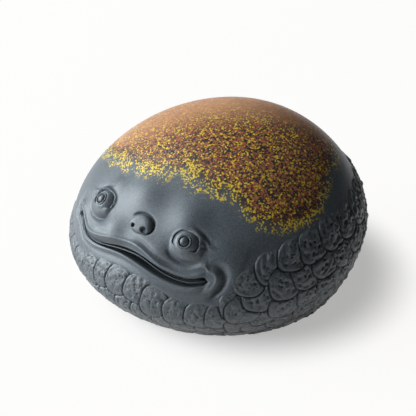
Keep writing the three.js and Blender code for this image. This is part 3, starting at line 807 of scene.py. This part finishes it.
def speckled(clay, colour, tones):
    """Gold and rust grains pressed into the back, the gold thick at the edge of their patch, with a
    painted sheen over them on the far top of the back.
    """
    inside = clay.stored("patch") + (clay.noise(4.5, 3.0, 0.6) - 0.5) * 7.0
    gilt = clay.stored("gilt")
    sheen_share = clay.stored("sheen_share")
    clump = clay.noise(2.4, 2.0, 0.5, 6.1) - 0.5
    pick, tone = clay.grains(tones.grain / MM)
    shade = 0.7 + 0.5 * tone
    colour = clay.mix(clay.step(inside, 0.0, 3.0), colour, (*tones.ground, 1))
    rusty = clay.step(pick - 0.57, -0.015, 0.015) * clay.step(inside, 0.5, 5.0)
    colour = clay.mix(rusty, colour, clay.tint(tones.rust, shade))
    edge = 1 - clay.step(inside, 1.5, 4.5)
    gold_share = (0.17 + 0.15 * edge + 1.5 * clump * edge) * (0.3 + 0.7 * gilt)
    golden = clay.step(gold_share - pick, -0.015, 0.015) * clay.step(inside, -2.0, 0.0)
    colour = clay.mix(golden, colour, clay.tint(tones.gold, shade))
    # Painted sheen: a lighter, smooth wash over the grains on the far top of the back.
    painted_sheen = clay.tint(tones.painted_sheen, 0.6 + 0.8 * clay.noise(1.6, 3.0, 0.6, 2.2))
    return clay.mix(sheen_share * clay.step(inside + 8 * clump, 1.0, 7.0), colour, painted_sheen)


def clays(settings):
    """The clays by slot."""
    tones = settings.clay
    return {
        "speckled_clay": fired_clay("speckled clay", tones.body, tones),
        "body_clay": fired_clay("body clay", tones.body),
        "wart_clay": fired_clay("wart clay", tones.wart, creased=1.0),
        "eye_clay": fired_clay("eye clay", tones.eye, burnish=0.1),
        "pupil_clay": fired_clay("pupil clay", tones.pupil, burnish=0.14),
    }


# Edge of the speckled patch round the body: turn in degrees and rise
PATCH_EDGE = (
    (-164, 0.45), (-137, 0.64), (-105, 0.74), (-85, 0.79), (-68, 0.76), (-51, 0.725), (-45, 0.67),
    (-38, 0.575), (-30, 0.545), (-20, 0.51), (-11, 0.5), (-4, 0.55), (6, 0.62), (18, 0.65), (40, 0.62),
    (70, 0.56), (100, 0.52), (150, 0.46),
)


def patch_rise(turn):
    """The rise at which the speckled patch begins, round the body."""
    at = np.radians([degrees for degrees, _ in PATCH_EDGE])
    rises = np.array([rise for _, rise in PATCH_EDGE])
    turn = (turn - at[0]) % (2 * math.pi) + at[0]
    at = np.append(at, at[0] + 2 * math.pi)
    rises = np.append(rises, rises[0])
    return np.interp(turn, at, rises)


class ToadPiece:
    """What the operators share."""

    bl_options = {"REGISTER", "UNDO"}

    @classmethod
    def poll(cls, context):
        return context.mode == "OBJECT"


class TOAD_OT_skin(ToadPiece, bpy.types.Operator):
    """Models the skin with its face, mouth and speckled back"""

    bl_idname = "toad.skin"
    bl_label = "Skin"

    def execute(self, context):
        form = Form(context.scene.toad)
        turns = self.turns()
        upper = self.half(form, turns, 1)
        lower = self.half(form, turns, -1)
        lower = [np.concatenate([first[:1], second]) for first, second in zip(upper, lower)]
        pieces = []
        for name, (places, turn, rise) in (("toad_skin", upper), ("toad_jaw", lower)):
            piece, row, column = add_grid(name, places)
            for paint, values in self.paints(form, places, turn, rise).items():
                mark(piece, paint, values[row, column])
            pieces.append(piece)
        skin, jaw = pieces
        select([skin, jaw])
        bpy.ops.object.join()
        weld(skin, 1e-5)
        nodes = ["crown_shell", "belly_shell", "upper_lip", "lower_lip"]
        for side in SIDES:
            nodes += [f"upper_eyelid_{side}", f"lower_eyelid_{side}", f"cheek_fold_{side}"]
        finish_piece(skin, "speckled_clay", nodes)
        return {"FINISHED"}

    def paints(self, form, places, turn, rise):
        """The way into the speckled patch, the gold that thins out on the flanks and the share of painted
        sheen on the far top of the back.
        """
        inside = (rise - patch_rise(turn)) * form.body.height
        gilt = 1 - 0.6 * ease(form.from_front(turn), math.radians(85), math.radians(120))
        # Painted sheen, strongest towards the back and the toad's right, thinning out far on the right.
        far = places[..., 1] - 0.85 * places[..., 0]
        sheen_share = 0.8 * ease(far, -4, 26) * (1 - 0.45 * ease(-places[..., 0], 8, 34))
        return {"patch": inside, "gilt": gilt, "sheen_share": sheen_share}

    def turns(self):
        """Turns of the columns, close together over the face."""
        face = math.radians(63)
        fine = np.linspace(-face, face, 301)
        coarse = np.linspace(face, 2 * math.pi - face, 131)
        return FRONT + np.concatenate([fine, coarse[1:]])

    def half(self, form, turns, side):
        """One half of the skin, from the inside of its lip to the crown or to the foot."""
        # How far each stretch of the wall reaches from the lip in millimetres, and its rows
        if side > 0:
            stretches = ((15.0, 72), (24.0, 30), (None, 40))
        else:
            stretches = ((7.0, 26), (None, 20))
        sculpt = Sculpt(form)
        mouth = form.mouth
        columns = []
        for turn in turns:
            rises, way = form.meridian(turn, low=-1.0)
            share_open = float(form.openness(turn))
            edge = form.seam_height(turn) + side * mouth.opening / 2 * share_open
            start = np.interp(form.rise_at(turn, edge), rises, way)
            start += side * mouth.lip_round * share_open
            end = way[-1] if side > 0 else way[0]
            marks = [start]
            for reach, steps in stretches:
                stretch_end = end if reach is None else start + side * reach
                marks += list(np.linspace(marks[-1], stretch_end, steps + 1)[1:])
            marks = np.array(marks)
            rise = np.interp(marks, way, rises)
            over = side * (np.abs(marks - start) + mouth.lip_round * share_open)
            columns.append((rise, over))
        rise, over = np.array(columns).transpose(1, 2, 0)
        turn = np.broadcast_to(turns, rise.shape)
        raised = sculpt.relief(turn, rise, over)
        normal = form.normal(turn, rise)
        level = np.where((rise < 0)[..., None], normal * (1, 1, 0), normal)
        level /= np.maximum(np.einsum("...i,...i->...", level, level), 1e-9)[..., None]
        push = np.where((rise < 0)[..., None], level, normal)
        places = form.point(turn, rise) + push * raised[..., None]
        places[..., 2] = np.maximum(places[..., 2], 0)
        rows = [self.roll(form, places, turns, normal[0], side), places]
        if side < 0:
            rows.append(places[-1:] - form.body.foot_ring * level[-1:])
        added = ((len(rows[0]), len(rows) - 2), (0, 0))
        turn, rise = (np.pad(values, added, mode="edge") for values in (turn, rise))
        return np.concatenate(rows), turn, rise

    def roll(self, form, places, turns, normal, side):
        """The edge of a lip, rolled inwards."""
        mouth = form.mouth
        share_open = form.openness(turns)[:, None]
        radius = mouth.lip_round * share_open
        towards = places[0] - places[1]
        towards = unit(towards - normal * np.einsum("ij,ij->i", towards, normal)[:, None])
        rows = []
        for angle in np.radians(np.linspace(15, 90, 6)):
            rows.append(
                places[0] + radius * (towards * math.sin(angle) - normal * (1 - math.cos(angle)))
            )
        for depth in (1.2, 3.0, mouth.depth):
            rows.append(rows[5] - normal * share_open * depth - towards * share_open * 0.05 * depth)
        return np.array(rows[::-1])


def add_turned(node, profile, place, slot, segments=72):
    """A piece turned on the lathe: radius and height pairs set up on a frame."""
    angle = np.linspace(0, 2 * math.pi, segments + 1)
    radius, height = np.array(profile).T
    across = radius[:, None, None] * (
        np.cos(angle)[:, None] * place.across + np.sin(angle)[:, None] * place.up
    )
    places = place.origin + across + height[:, None, None] * place.normal
    add_solid(f"{node}_clay", places, slot, node)


class TOAD_OT_eyes(ToadPiece, bpy.types.Operator):
    """Models the eyeballs, iris rings and pupils"""

    bl_idname = "toad.eyes"
    bl_label = "Eyes"

    def execute(self, context):
        form = Form(context.scene.toad)
        for name, side in SIDES.items():
            gaze = self.gaze(form, side)
            add_turned(f"eyeball_{name}", self.ball_profile(form.eyes), gaze, "eye_clay")
            add_turned(f"iris_{name}", self.iris_profile(form.eyes), gaze, "eye_clay")
            add_turned(f"pupil_{name}", self.pupil_profile(form.eyes), gaze, "pupil_clay")
        return {"FINISHED"}

    def gaze(self, form, side):
        """The middle of an eyeball and the way it looks."""
        gaze = form.eye_frame(side)
        gaze.origin = gaze.origin + gaze.normal * (form.eyes.proud - form.eyes.radius)
        return gaze

    def ball_profile(self, eyes):
        """A ball with a seat for the iris let into its front."""
        seat = eyes.iris + 0.05
        rim = math.asin(seat / eyes.radius)
        floor = eyes.radius * math.cos(rim) - 0.35
        points = [(0, floor), (0.5 * seat, floor), (seat - 0.1, floor), (seat, floor + 0.1)]
        for angle in np.linspace(rim, math.pi, 36):
            points.append((eyes.radius * math.sin(angle), eyes.radius * math.cos(angle)))
        points[-1] = (0, -eyes.radius)
        return points[::-1]

    def iris_profile(self, eyes):
        """A thin rounded ring that lies in the seat."""
        rim = eyes.radius * math.cos(math.asin(eyes.iris / eyes.radius))
        inner = eyes.pupil + 0.1
        middle = (inner + eyes.iris) / 2
        half = (eyes.iris - inner) / 2
        points = []
        for angle in np.linspace(0, 2 * math.pi, 25):
            points.append((middle + half * math.cos(angle), rim + 0.02 + 0.3 * math.sin(angle)))
        points[-1] = points[0]
        return points[::-1]

    def pupil_profile(self, eyes):
        """A low dome with a line round its edge."""
        rim = eyes.radius * math.cos(math.asin(eyes.pupil / eyes.radius))
        points = [(0, rim - 0.5), (eyes.pupil, rim - 0.5), (eyes.pupil, rim - 0.1)]
        for radius in np.linspace(eyes.pupil - 0.03, 0, 22):
            dome = 0.5 * (1 - (radius / eyes.pupil) ** 2)
            line = 0.35 * swell(radius - 0.95 * eyes.pupil, 0.16)
            points.append((radius, rim - 0.02 + dome - line))
        points[-1] = (0, points[-1][1])
        return points


class TOAD_OT_nose(ToadPiece, bpy.types.Operator):
    """Models the nose and its nostrils"""

    bl_idname = "toad.nose"
    bl_label = "Nose"

    def execute(self, context):
        form = Form(context.scene.toad)
        nose = form.nose
        place = form.face_frame(nose.out, nose.height)
        around = np.linspace(0, 2 * math.pi, 121)
        size = np.concatenate([np.linspace(0, 0.8, 40), 1 - 0.2 * np.linspace(1, 0, 24)[1:] ** 2])
        down = np.linspace(0, 1, 8)[1:]
        reach = np.concatenate([size, 1 - 0.5 * down**2])[:, None]
        out = np.cos(around) * reach
        up = np.sin(around) * reach
        top = nose.proud * np.maximum(0, 1 - size**4) ** 0.5
        high = np.concatenate([top, -nose.root * down])[:, None] * np.ones_like(out)
        out = out * nose.half_width * (1 - 0.1 * up)
        up = up * nose.half_height
        for aside, large in ((-nose.right_nostril, 0.8), (nose.left_nostril, 1.1)):
            away = np.hypot((out - aside) / 1.2, up + nose.nostril_drop)
            pit = 1 - ease(away, 0.4 * large * nose.nostril, 1.5 * large * nose.nostril)
            high = high - np.where(high > -0.5, nose.nostril_depth * pit, 0)
        high[-1] = -nose.root
        places = (
            place.origin + out[..., None] * place.across + up[..., None] * place.up
            + high[..., None] * place.normal
        )
        places[-1] = places[-1].mean(axis=0)
        add_solid("nose_clay", places, "body_clay", "nose")
        return {"FINISHED"}


class TOAD_OT_tongue(ToadPiece, bpy.types.Operator):
    """Models the tongue, whose edge shows in the mouth"""

    bl_idname = "toad.tongue"
    bl_label = "Tongue"

    def execute(self, context):
        form = Form(context.scene.toad)
        mouth = form.mouth
        half = mouth.tongue_edge / 2
        section = []
        for angle in np.linspace(-90, 90, 9):
            swing = math.radians(angle)
            section.append((half * (1 - math.cos(swing)), half * math.sin(swing)))
        section += [(1.2, -0.5), (1.0, -0.7), section[0]]
        corners = np.arcsin(np.array([-mouth.right_corner, mouth.left_corner]) / form.mouth_ring)
        turns = FRONT + 0.96 * np.linspace(*corners, 121)
        seam = form.seam_height(turns)
        rise = form.rise_at(turns, seam)
        normal = unit(form.normal(turns, rise) * (1, 1, 0))
        edge = form.point(turns, rise)
        arch = 0.6 * swell(form.mouth_place(turns) - 0.2, 0.2)
        thin = np.minimum(1, form.openness(turns) / 0.3)
        thin[[0, -1]] = 0
        rows = []
        for depth, height in section:
            row = edge - normal * (depth + mouth.tongue_setback)
            row[:, 2] = seam + thin * (height + mouth.tongue_lift + arch)
            rows.append(row)
        add_solid("tongue_clay", np.array(rows), "body_clay", "tongue")
        return {"FINISHED"}


class TOAD_OT_base(ToadPiece, bpy.types.Operator):
    """Models the base slab with its kiln vent"""

    bl_idname = "toad.base"
    bl_label = "Base"

    def execute(self, context):
        form = Form(context.scene.toad)
        turns = np.linspace(0, 2 * math.pi, 97) + FRONT
        foot = form.point(turns, np.full_like(turns, -1.0))
        middle = np.array([0, form.body.set_back, 0])
        spoke = foot - middle
        spoke[:, 2] = 0
        reach = np.linalg.norm(spoke, axis=1, keepdims=True)
        spoke /= reach
        slab = form.base
        edge = reach - form.warts.bed - slab.gap
        low, high, top = slab.rounding, slab.thickness - slab.rounding, slab.thickness
        rows = []
        for share_out, height, inset in (
            (0, low, 0), (0, 0, low), (1, 0, -low), (1, low, 0), (1, high, 0), (1, top, -low),
            (0, top, low), (0, high, 0), (0, low, 0),
        ):
            row = middle + spoke * (lerp(slab.vent, edge, share_out) + inset)
            row[:, 2] = height + slab.lift
            rows.append(row)
        add_solid("base_clay", np.array(rows), "body_clay", "base_slab")
        return {"FINISHED"}


class TOAD_OT_warts(ToadPiece, bpy.types.Operator):
    """Models the columns of pressed warts"""

    bl_idname = "toad.warts"
    bl_label = "Warts"

    def execute(self, context):
        form = Form(context.scene.toad)
        pattern = self.pattern()
        field = self.field(form)
        strips = [[] for _ in range(form.warts.columns)]
        for wart in field:
            over = [other for other in field if self.covers(other, wart)]
            strips[wart.strip].append(self.copy(pattern, form, wart, over))
        for number, copies in enumerate(strips, 1):
            if not copies:
                stop(f"wart strip {number} is empty")
            select(copies)
            bpy.ops.object.join()
            piece = copies[0]
            piece.name = piece.data.name = f"wart_strip_{number:02d}_clay"
            finish_piece(piece, "wart_clay", [f"wart_strip_{number:02d}"])
        bpy.data.objects.remove(pattern.piece)
        return {"FINISHED"}

    def pattern(self):
        """The first wart: rings round a middle on a flat back, and each point's size and angle."""
        segments, rings = 60, 22
        bpy.ops.object.select_all(action="DESELECT")
        bpy.ops.mesh.primitive_circle_add(vertices=segments, radius=1, fill_type="NGON")
        piece = bpy.context.object
        piece.name = "wart_pattern"
        bpy.ops.object.mode_set(mode="EDIT")
        bpy.ops.mesh.select_mode(type="FACE")
        bpy.ops.mesh.select_all(action="SELECT")
        for _ in range(rings):
            bpy.ops.mesh.inset(thickness=0.94 / rings, use_boundary=True)
        bpy.ops.mesh.poke()
        bpy.ops.mesh.select_mode(type="EDGE")
        bpy.ops.mesh.select_all(action="DESELECT")
        bpy.ops.mesh.select_non_manifold(
            use_wire=False, use_multi_face=False, use_non_contiguous=False, use_verts=False
        )
        bpy.ops.mesh.extrude_region_move(TRANSFORM_OT_translate={"value": (0, 0, -1)})
        bpy.ops.mesh.edge_face_add()
        bpy.ops.mesh.select_all(action="SELECT")
        bpy.ops.mesh.normals_make_consistent(inside=False)
        bpy.ops.object.mode_set(mode="OBJECT")
        flat = read(piece.data.vertices, "co")
        size = np.hypot(flat[:, 0], flat[:, 1])
        size = np.clip(size / size.max(), 0, 1)
        return SimpleNamespace(
            piece=piece, size=size, angle=np.arctan2(flat[:, 1], flat[:, 0]), back=flat[:, 2] < -0.5
        )

    def copy(self, pattern, form, wart, over):
        """A copy of the first wart with a mesh of its own."""
        points, edge = self.shape(pattern, form, wart, over)
        copy = bpy.data.objects.new("wart", pattern.piece.data.copy())
        copy.data.vertices.foreach_set("co", (points * MM).ravel())
        copy.data.update()
        mark(copy, "rough", np.full(len(points), wart.rough))
        mark(copy, "edge", edge)
        bpy.context.collection.objects.link(copy)
        return copy

    def strip_turns(self, form):
        """Turns that part the girth into equal ways, from the front round by the left."""
        turn = FRONT + np.linspace(0, 2 * math.pi, 4001)
        girth = form.point(turn, np.zeros_like(turn))
        girth[:, 2] = 0
        way = way_along(girth)
        columns = form.warts.columns
        return np.interp(np.arange(columns) / columns * way[-1], way, turn)

    def field(self, form):
        """All warts, in rows that follow the top of the band down to the floor."""
        warts = form.warts
        strips = self.strip_turns(form)
        turns = FRONT + np.linspace(0, 2 * math.pi, 361)
        walls = [form.meridian(turn) for turn in turns]
        heights = [form.point(turn, rises)[:, 2] for turn, (rises, _) in zip(turns, walls)]
        tops = zip(form.band_top(turns), heights, walls)
        top = np.array([np.interp(height, column, way) for height, column, (_, way) in tops])
        beside = ease(form.from_front(turns), form.corner, 1.5 * form.corner)
        growth = lerp(1.0, warts.flank_growth, beside)
        found = []
        for row in range(12):
            at = top - growth * (lerp(1.05, 0.7, beside) * warts.radius + row * warts.row_pitch)
            rise = np.array([np.interp(place, way, rises) for place, (rises, way) in zip(at, walls)])
            step = np.linalg.norm(np.diff(form.point(turns, rise), axis=0), axis=1)
            step /= warts.side_pitch * growth[1:]
            steps = np.concatenate([[0], np.cumsum(step)])
            number = round(steps[-1])
            for place in (np.arange(number) + row % 2 / 2) / number * steps[-1]:
                turn, lies, grown = (np.interp(place, steps, values) for values in (turns, at, growth))
                if lies > -0.5 * warts.radius:
                    found.append(self.wart(form, turn, lies, grown, len(found), strips))
        return found

    def wart(self, form, turn, at, growth, number, strips):
        """One wart: its place on the body, its outline and the strip it belongs to."""
        draw = np.random.default_rng(FIRST_SEED + number)
        rises, way = form.meridian(turn)
        at += draw.uniform(-0.5, 0.5)
        rise = np.interp(at, way, rises)
        small = 1e-3
        apart = form.point(turn + small, rise) - form.point(turn - small, rise)
        per_turn = np.linalg.norm(apart) / (2 * small)
        turn += draw.uniform(-0.6, 0.6) / per_turn
        beside = nearest_turn(strips - turn)
        return SimpleNamespace(
            turn=turn, at=at, rises=rises, way=way, per_turn=per_turn, draw=draw,
            centre=form.point(turn, rise), strip=int(np.argmin(np.abs(beside))),
            radius=form.warts.radius * growth * draw.uniform(1.0, 1.12),
            rough=float(ease(form.from_front(turn), math.radians(40), math.radians(85))),
            square=draw.uniform(2.05, 2.4), spin=draw.uniform(0, 2 * math.pi, 3),
            whim=draw.uniform(-1, 1) * lerp(1.2, 4.5, (growth - 1) / (form.warts.flank_growth - 1)),
        )

    def covers(self, other, wart):
        """Whether another wart lies over this one: those above it and on its left side do."""
        apart = np.linalg.norm(other.centre - wart.centre)
        if other is wart or apart > 1.2 * (other.radius + wart.radius):
            return False
        lead_per_radian = 24
        lead = lead_per_radian * nearest_turn(other.turn - wart.turn)
        return other.at - wart.at + lead + other.whim - wart.whim > 0

    def outline(self, wart, angle):
        """How far the edge of a wart lies from its middle, in radii."""
        corner = np.abs(np.cos(angle)) ** wart.square + np.abs(np.sin(angle)) ** wart.square
        edge = corner ** (-1 / wart.square)
        edge += 0.05 * np.cos(2 * angle + wart.spin[0]) + 0.04 * np.cos(3 * angle + wart.spin[1])
        return edge + 0.02 * np.cos(5 * angle + wart.spin[2])

    def size_in(self, wart, turn, rise):
        """Where places lie in a wart: 0 in its middle, 1 on its outline."""
        out = nearest_turn(turn - wart.turn) * wart.per_turn
        up = np.interp(rise, wart.rises, wart.way) - wart.at
        return np.hypot(out, up) / (wart.radius * self.outline(wart, np.arctan2(up, out)))

    def shape(self, pattern, form, wart, over):
        """The points of one wart bent round the body, and how near each one lies to an edge."""
        reach = pattern.size * self.outline(wart, pattern.angle)
        out = reach * np.cos(pattern.angle)
        up = reach * np.sin(pattern.angle)
        turns = wart.turn + wart.radius * out / wart.per_turn
        rises = np.interp(wart.at + wart.radius * up, wart.way, wart.rises)
        high = self.height(form, pattern, out, up, wart)
        # How near each point lies to an edge; the wart clay uses it to paint shade, as in a groove round
        # the wart.
        edge = pattern.size - 0.12 * ease(up, 0.0, 0.5)
        covered = np.zeros_like(high)
        for other in over:
            covered = np.maximum(covered, 1 - ease(self.size_in(other, turns, rises), 0.93, 1.07))
        high -= form.warts.overlap * covered
        edge = np.maximum(edge, 0.84 + 0.16 * covered)
        high = np.where(pattern.back, -form.warts.back, high)
        points = form.point(turns, rises) + form.normal(turns, rises) * high[:, None]
        points[:, 2] = np.maximum(points[:, 2], 0.02)
        return points, edge

    def height(self, form, pattern, out, up, wart):
        """Height of a wart over the skin: a pitted middle in a smooth rim that rolls down to the bed."""
        warts, size, draw, rough = form.warts, pattern.size, wart.draw, wart.rough
        high = lerp(warts.dome, warts.flank_dome, rough) * (1 - size**2)
        high += warts.rim * swell(size - 0.84, 0.06)
        high -= warts.tilt * (up + out) + warts.tuck * ease(up, 0.35, 1.0)
        middle = 1 - ease(size, 0.68, 0.84)
        for _ in range(8):
            way = draw.uniform(0, 2 * math.pi)
            crossing = out * math.cos(way) + up * math.sin(way)
            wave = np.cos(draw.uniform(6, 18) * crossing + draw.uniform(0, 6.3))
            high += (warts.wrinkle + warts.flank_wrinkle * rough) * middle * wave
        for _ in range(draw.integers(24, 32) + int(26 * rough)):
            way = draw.uniform(0, 2 * math.pi)
            far = lerp(0.74, 0.92, rough) * math.sqrt(draw.uniform(0, 1))
            away = np.hypot(out - far * math.cos(way), up - far * math.sin(way))
            deep = warts.pit * draw.uniform(0.4, 1) * (1 + 2 * rough)
            deep *= 1 - ease(far * math.sin(way), 0.3, 0.6)
            high -= deep * swell(away, draw.uniform(0.045, 0.08))
        roll = np.clip((size - 0.9) / 0.1, 0, 1)
        return high - warts.relief * (1 - np.sqrt(np.maximum(0, 1 - roll**2)))


class TOAD_OT_stage(ToadPiece, bpy.types.Operator):
    """Sets the pale floor, the light and the camera"""

    bl_idname = "toad.stage"
    bl_label = "Stage"

    def execute(self, context):
        settings = context.scene.toad
        stage = settings.stage
        back = Vector((
            math.sin(stage.azimuth) * math.cos(stage.elevation),
            -math.cos(stage.azimuth) * math.cos(stage.elevation),
            math.sin(stage.elevation),
        ))
        right = Vector((math.cos(stage.azimuth), math.sin(stage.azimuth), 0))
        up = back.cross(right)
        aim = right * stage.aim_right + Vector((0, settings.body.set_back, stage.aim_height))
        axes = Matrix((right, up, back)).transposed()
        self.floor(stage, stage.shade_aside * right)
        self.background(context.scene, stage)
        self.light(aim, axes @ Vector(stage.key_from), stage.key_size, stage.key, stage.lamp)
        self.light(aim, axes @ Vector(stage.top_from), stage.top_size, stage.top, stage.lamp)
        bpy.ops.object.camera_add(location=aim + back * stage.distance)
        camera = context.object
        camera.matrix_world = Matrix.Translation(aim + back * stage.distance) @ axes.to_4x4()
        camera.data.lens = stage.lens
        camera.data.sensor_width = 36
        camera.data.clip_start = 0.01
        context.scene.camera = camera
        context.scene.view_settings.view_transform = "Standard"
        return {"FINISHED"}

    def floor(self, stage, shaded):
        """White paper on which the shadow shows round a place beside the toad."""
        bpy.ops.object.select_all(action="DESELECT")
        bpy.ops.mesh.primitive_plane_add(size=4)
        floor = bpy.context.object
        floor.name = "floor"
        paper = Clay("white paper")
        seen = paper.node("ShaderNodeLightPath", {}, {}, "Is Camera Ray")
        for ray in ("Is Glossy Ray", "Is Transmission Ray"):
            seen = paper.sum("MAXIMUM", seen, paper.node("ShaderNodeLightPath", {}, {}, ray))
        matt = paper.node("ShaderNodeBsdfDiffuse", {}, {"Color": (*stage.paper, 1)})
        white = paper.node("ShaderNodeEmission", {}, {"Color": (*stage.white, 1), "Strength": 1.0})
        inputs = {0: paper.places(), 1: shaded}
        apart = paper.node("ShaderNodeVectorMath", {"operation": "DISTANCE"}, inputs, "Value")
        bright = lerp(stage.shade, stage.bare, paper.step(apart, stage.shade_inner, stage.shade_outer))
        lit = paper.node("ShaderNodeMixShader", {}, {0: bright * seen, 1: matt, 2: white})
        paper.node("ShaderNodeOutputMaterial", {}, {"Surface": lit}, None)
        floor.data.materials.append(paper.material)

    def background(self, scene, stage):
        """A plain dim room."""
        world = bpy.data.worlds.new("pale room")
        world.use_nodes = True
        room = world.node_tree.nodes["Background"]
        room.inputs["Color"].default_value = (*stage.room, 1)
        room.inputs["Strength"].default_value = stage.fill
        scene.world = world

    def light(self, aim, apart, size, power, tint):
        """A square lamp that faces the toad."""
        bpy.ops.object.light_add(type="AREA", location=aim + apart)
        light = bpy.context.object
        light.rotation_euler = apart.to_track_quat("Z", "Y").to_euler()
        light.data.size = size
        light.data.energy = power
        light.data.color = tint


class TOAD_PT_panel(bpy.types.Panel):
    """The toad's panel in the sidebar"""

    bl_label = "Money toad"
    bl_idname = "TOAD_PT_panel"
    bl_space_type = "VIEW_3D"
    bl_region_type = "UI"
    bl_category = "Toad"

    def draw(self, context):
        settings = context.scene.toad
        for operator in PIECES:
            self.layout.operator(operator.bl_idname)
        for section in fields(settings):
            group = getattr(settings, section.identifier)
            box = self.layout.box()
            for item in fields(group):
                box.prop(group, item.identifier)


PIECES = (
    TOAD_OT_skin, TOAD_OT_eyes, TOAD_OT_nose, TOAD_OT_tongue, TOAD_OT_base, TOAD_OT_warts,
    TOAD_OT_stage,
)
GROUPS = (
    ToadBody, ToadMouth, ToadEyes, ToadNose, ToadBase, ToadWarts, ToadClay, ToadStage,
    ToadSettings,
)


def register():
    """Makes the panel, its settings and the operators known."""
    for group in GROUPS + PIECES + (TOAD_PT_panel,):
        bpy.utils.register_class(group)
    bpy.types.Scene.toad = PointerProperty(type=ToadSettings)


def unregister():
    """Takes them away again."""
    del bpy.types.Scene.toad
    for group in reversed(GROUPS + PIECES + (TOAD_PT_panel,)):
        bpy.utils.unregister_class(group)


def main():
    """Models every piece and sets the stage."""
    register()
    bpy.ops.object.select_all(action="DESELECT")
    for call in (
        bpy.ops.toad.skin, bpy.ops.toad.eyes, bpy.ops.toad.nose, bpy.ops.toad.tongue,
        bpy.ops.toad.base, bpy.ops.toad.warts, bpy.ops.toad.stage,
    ):
        if call() != {"FINISHED"}:
            stop("an operator did not finish")


if __name__ == "__main__":
    main()
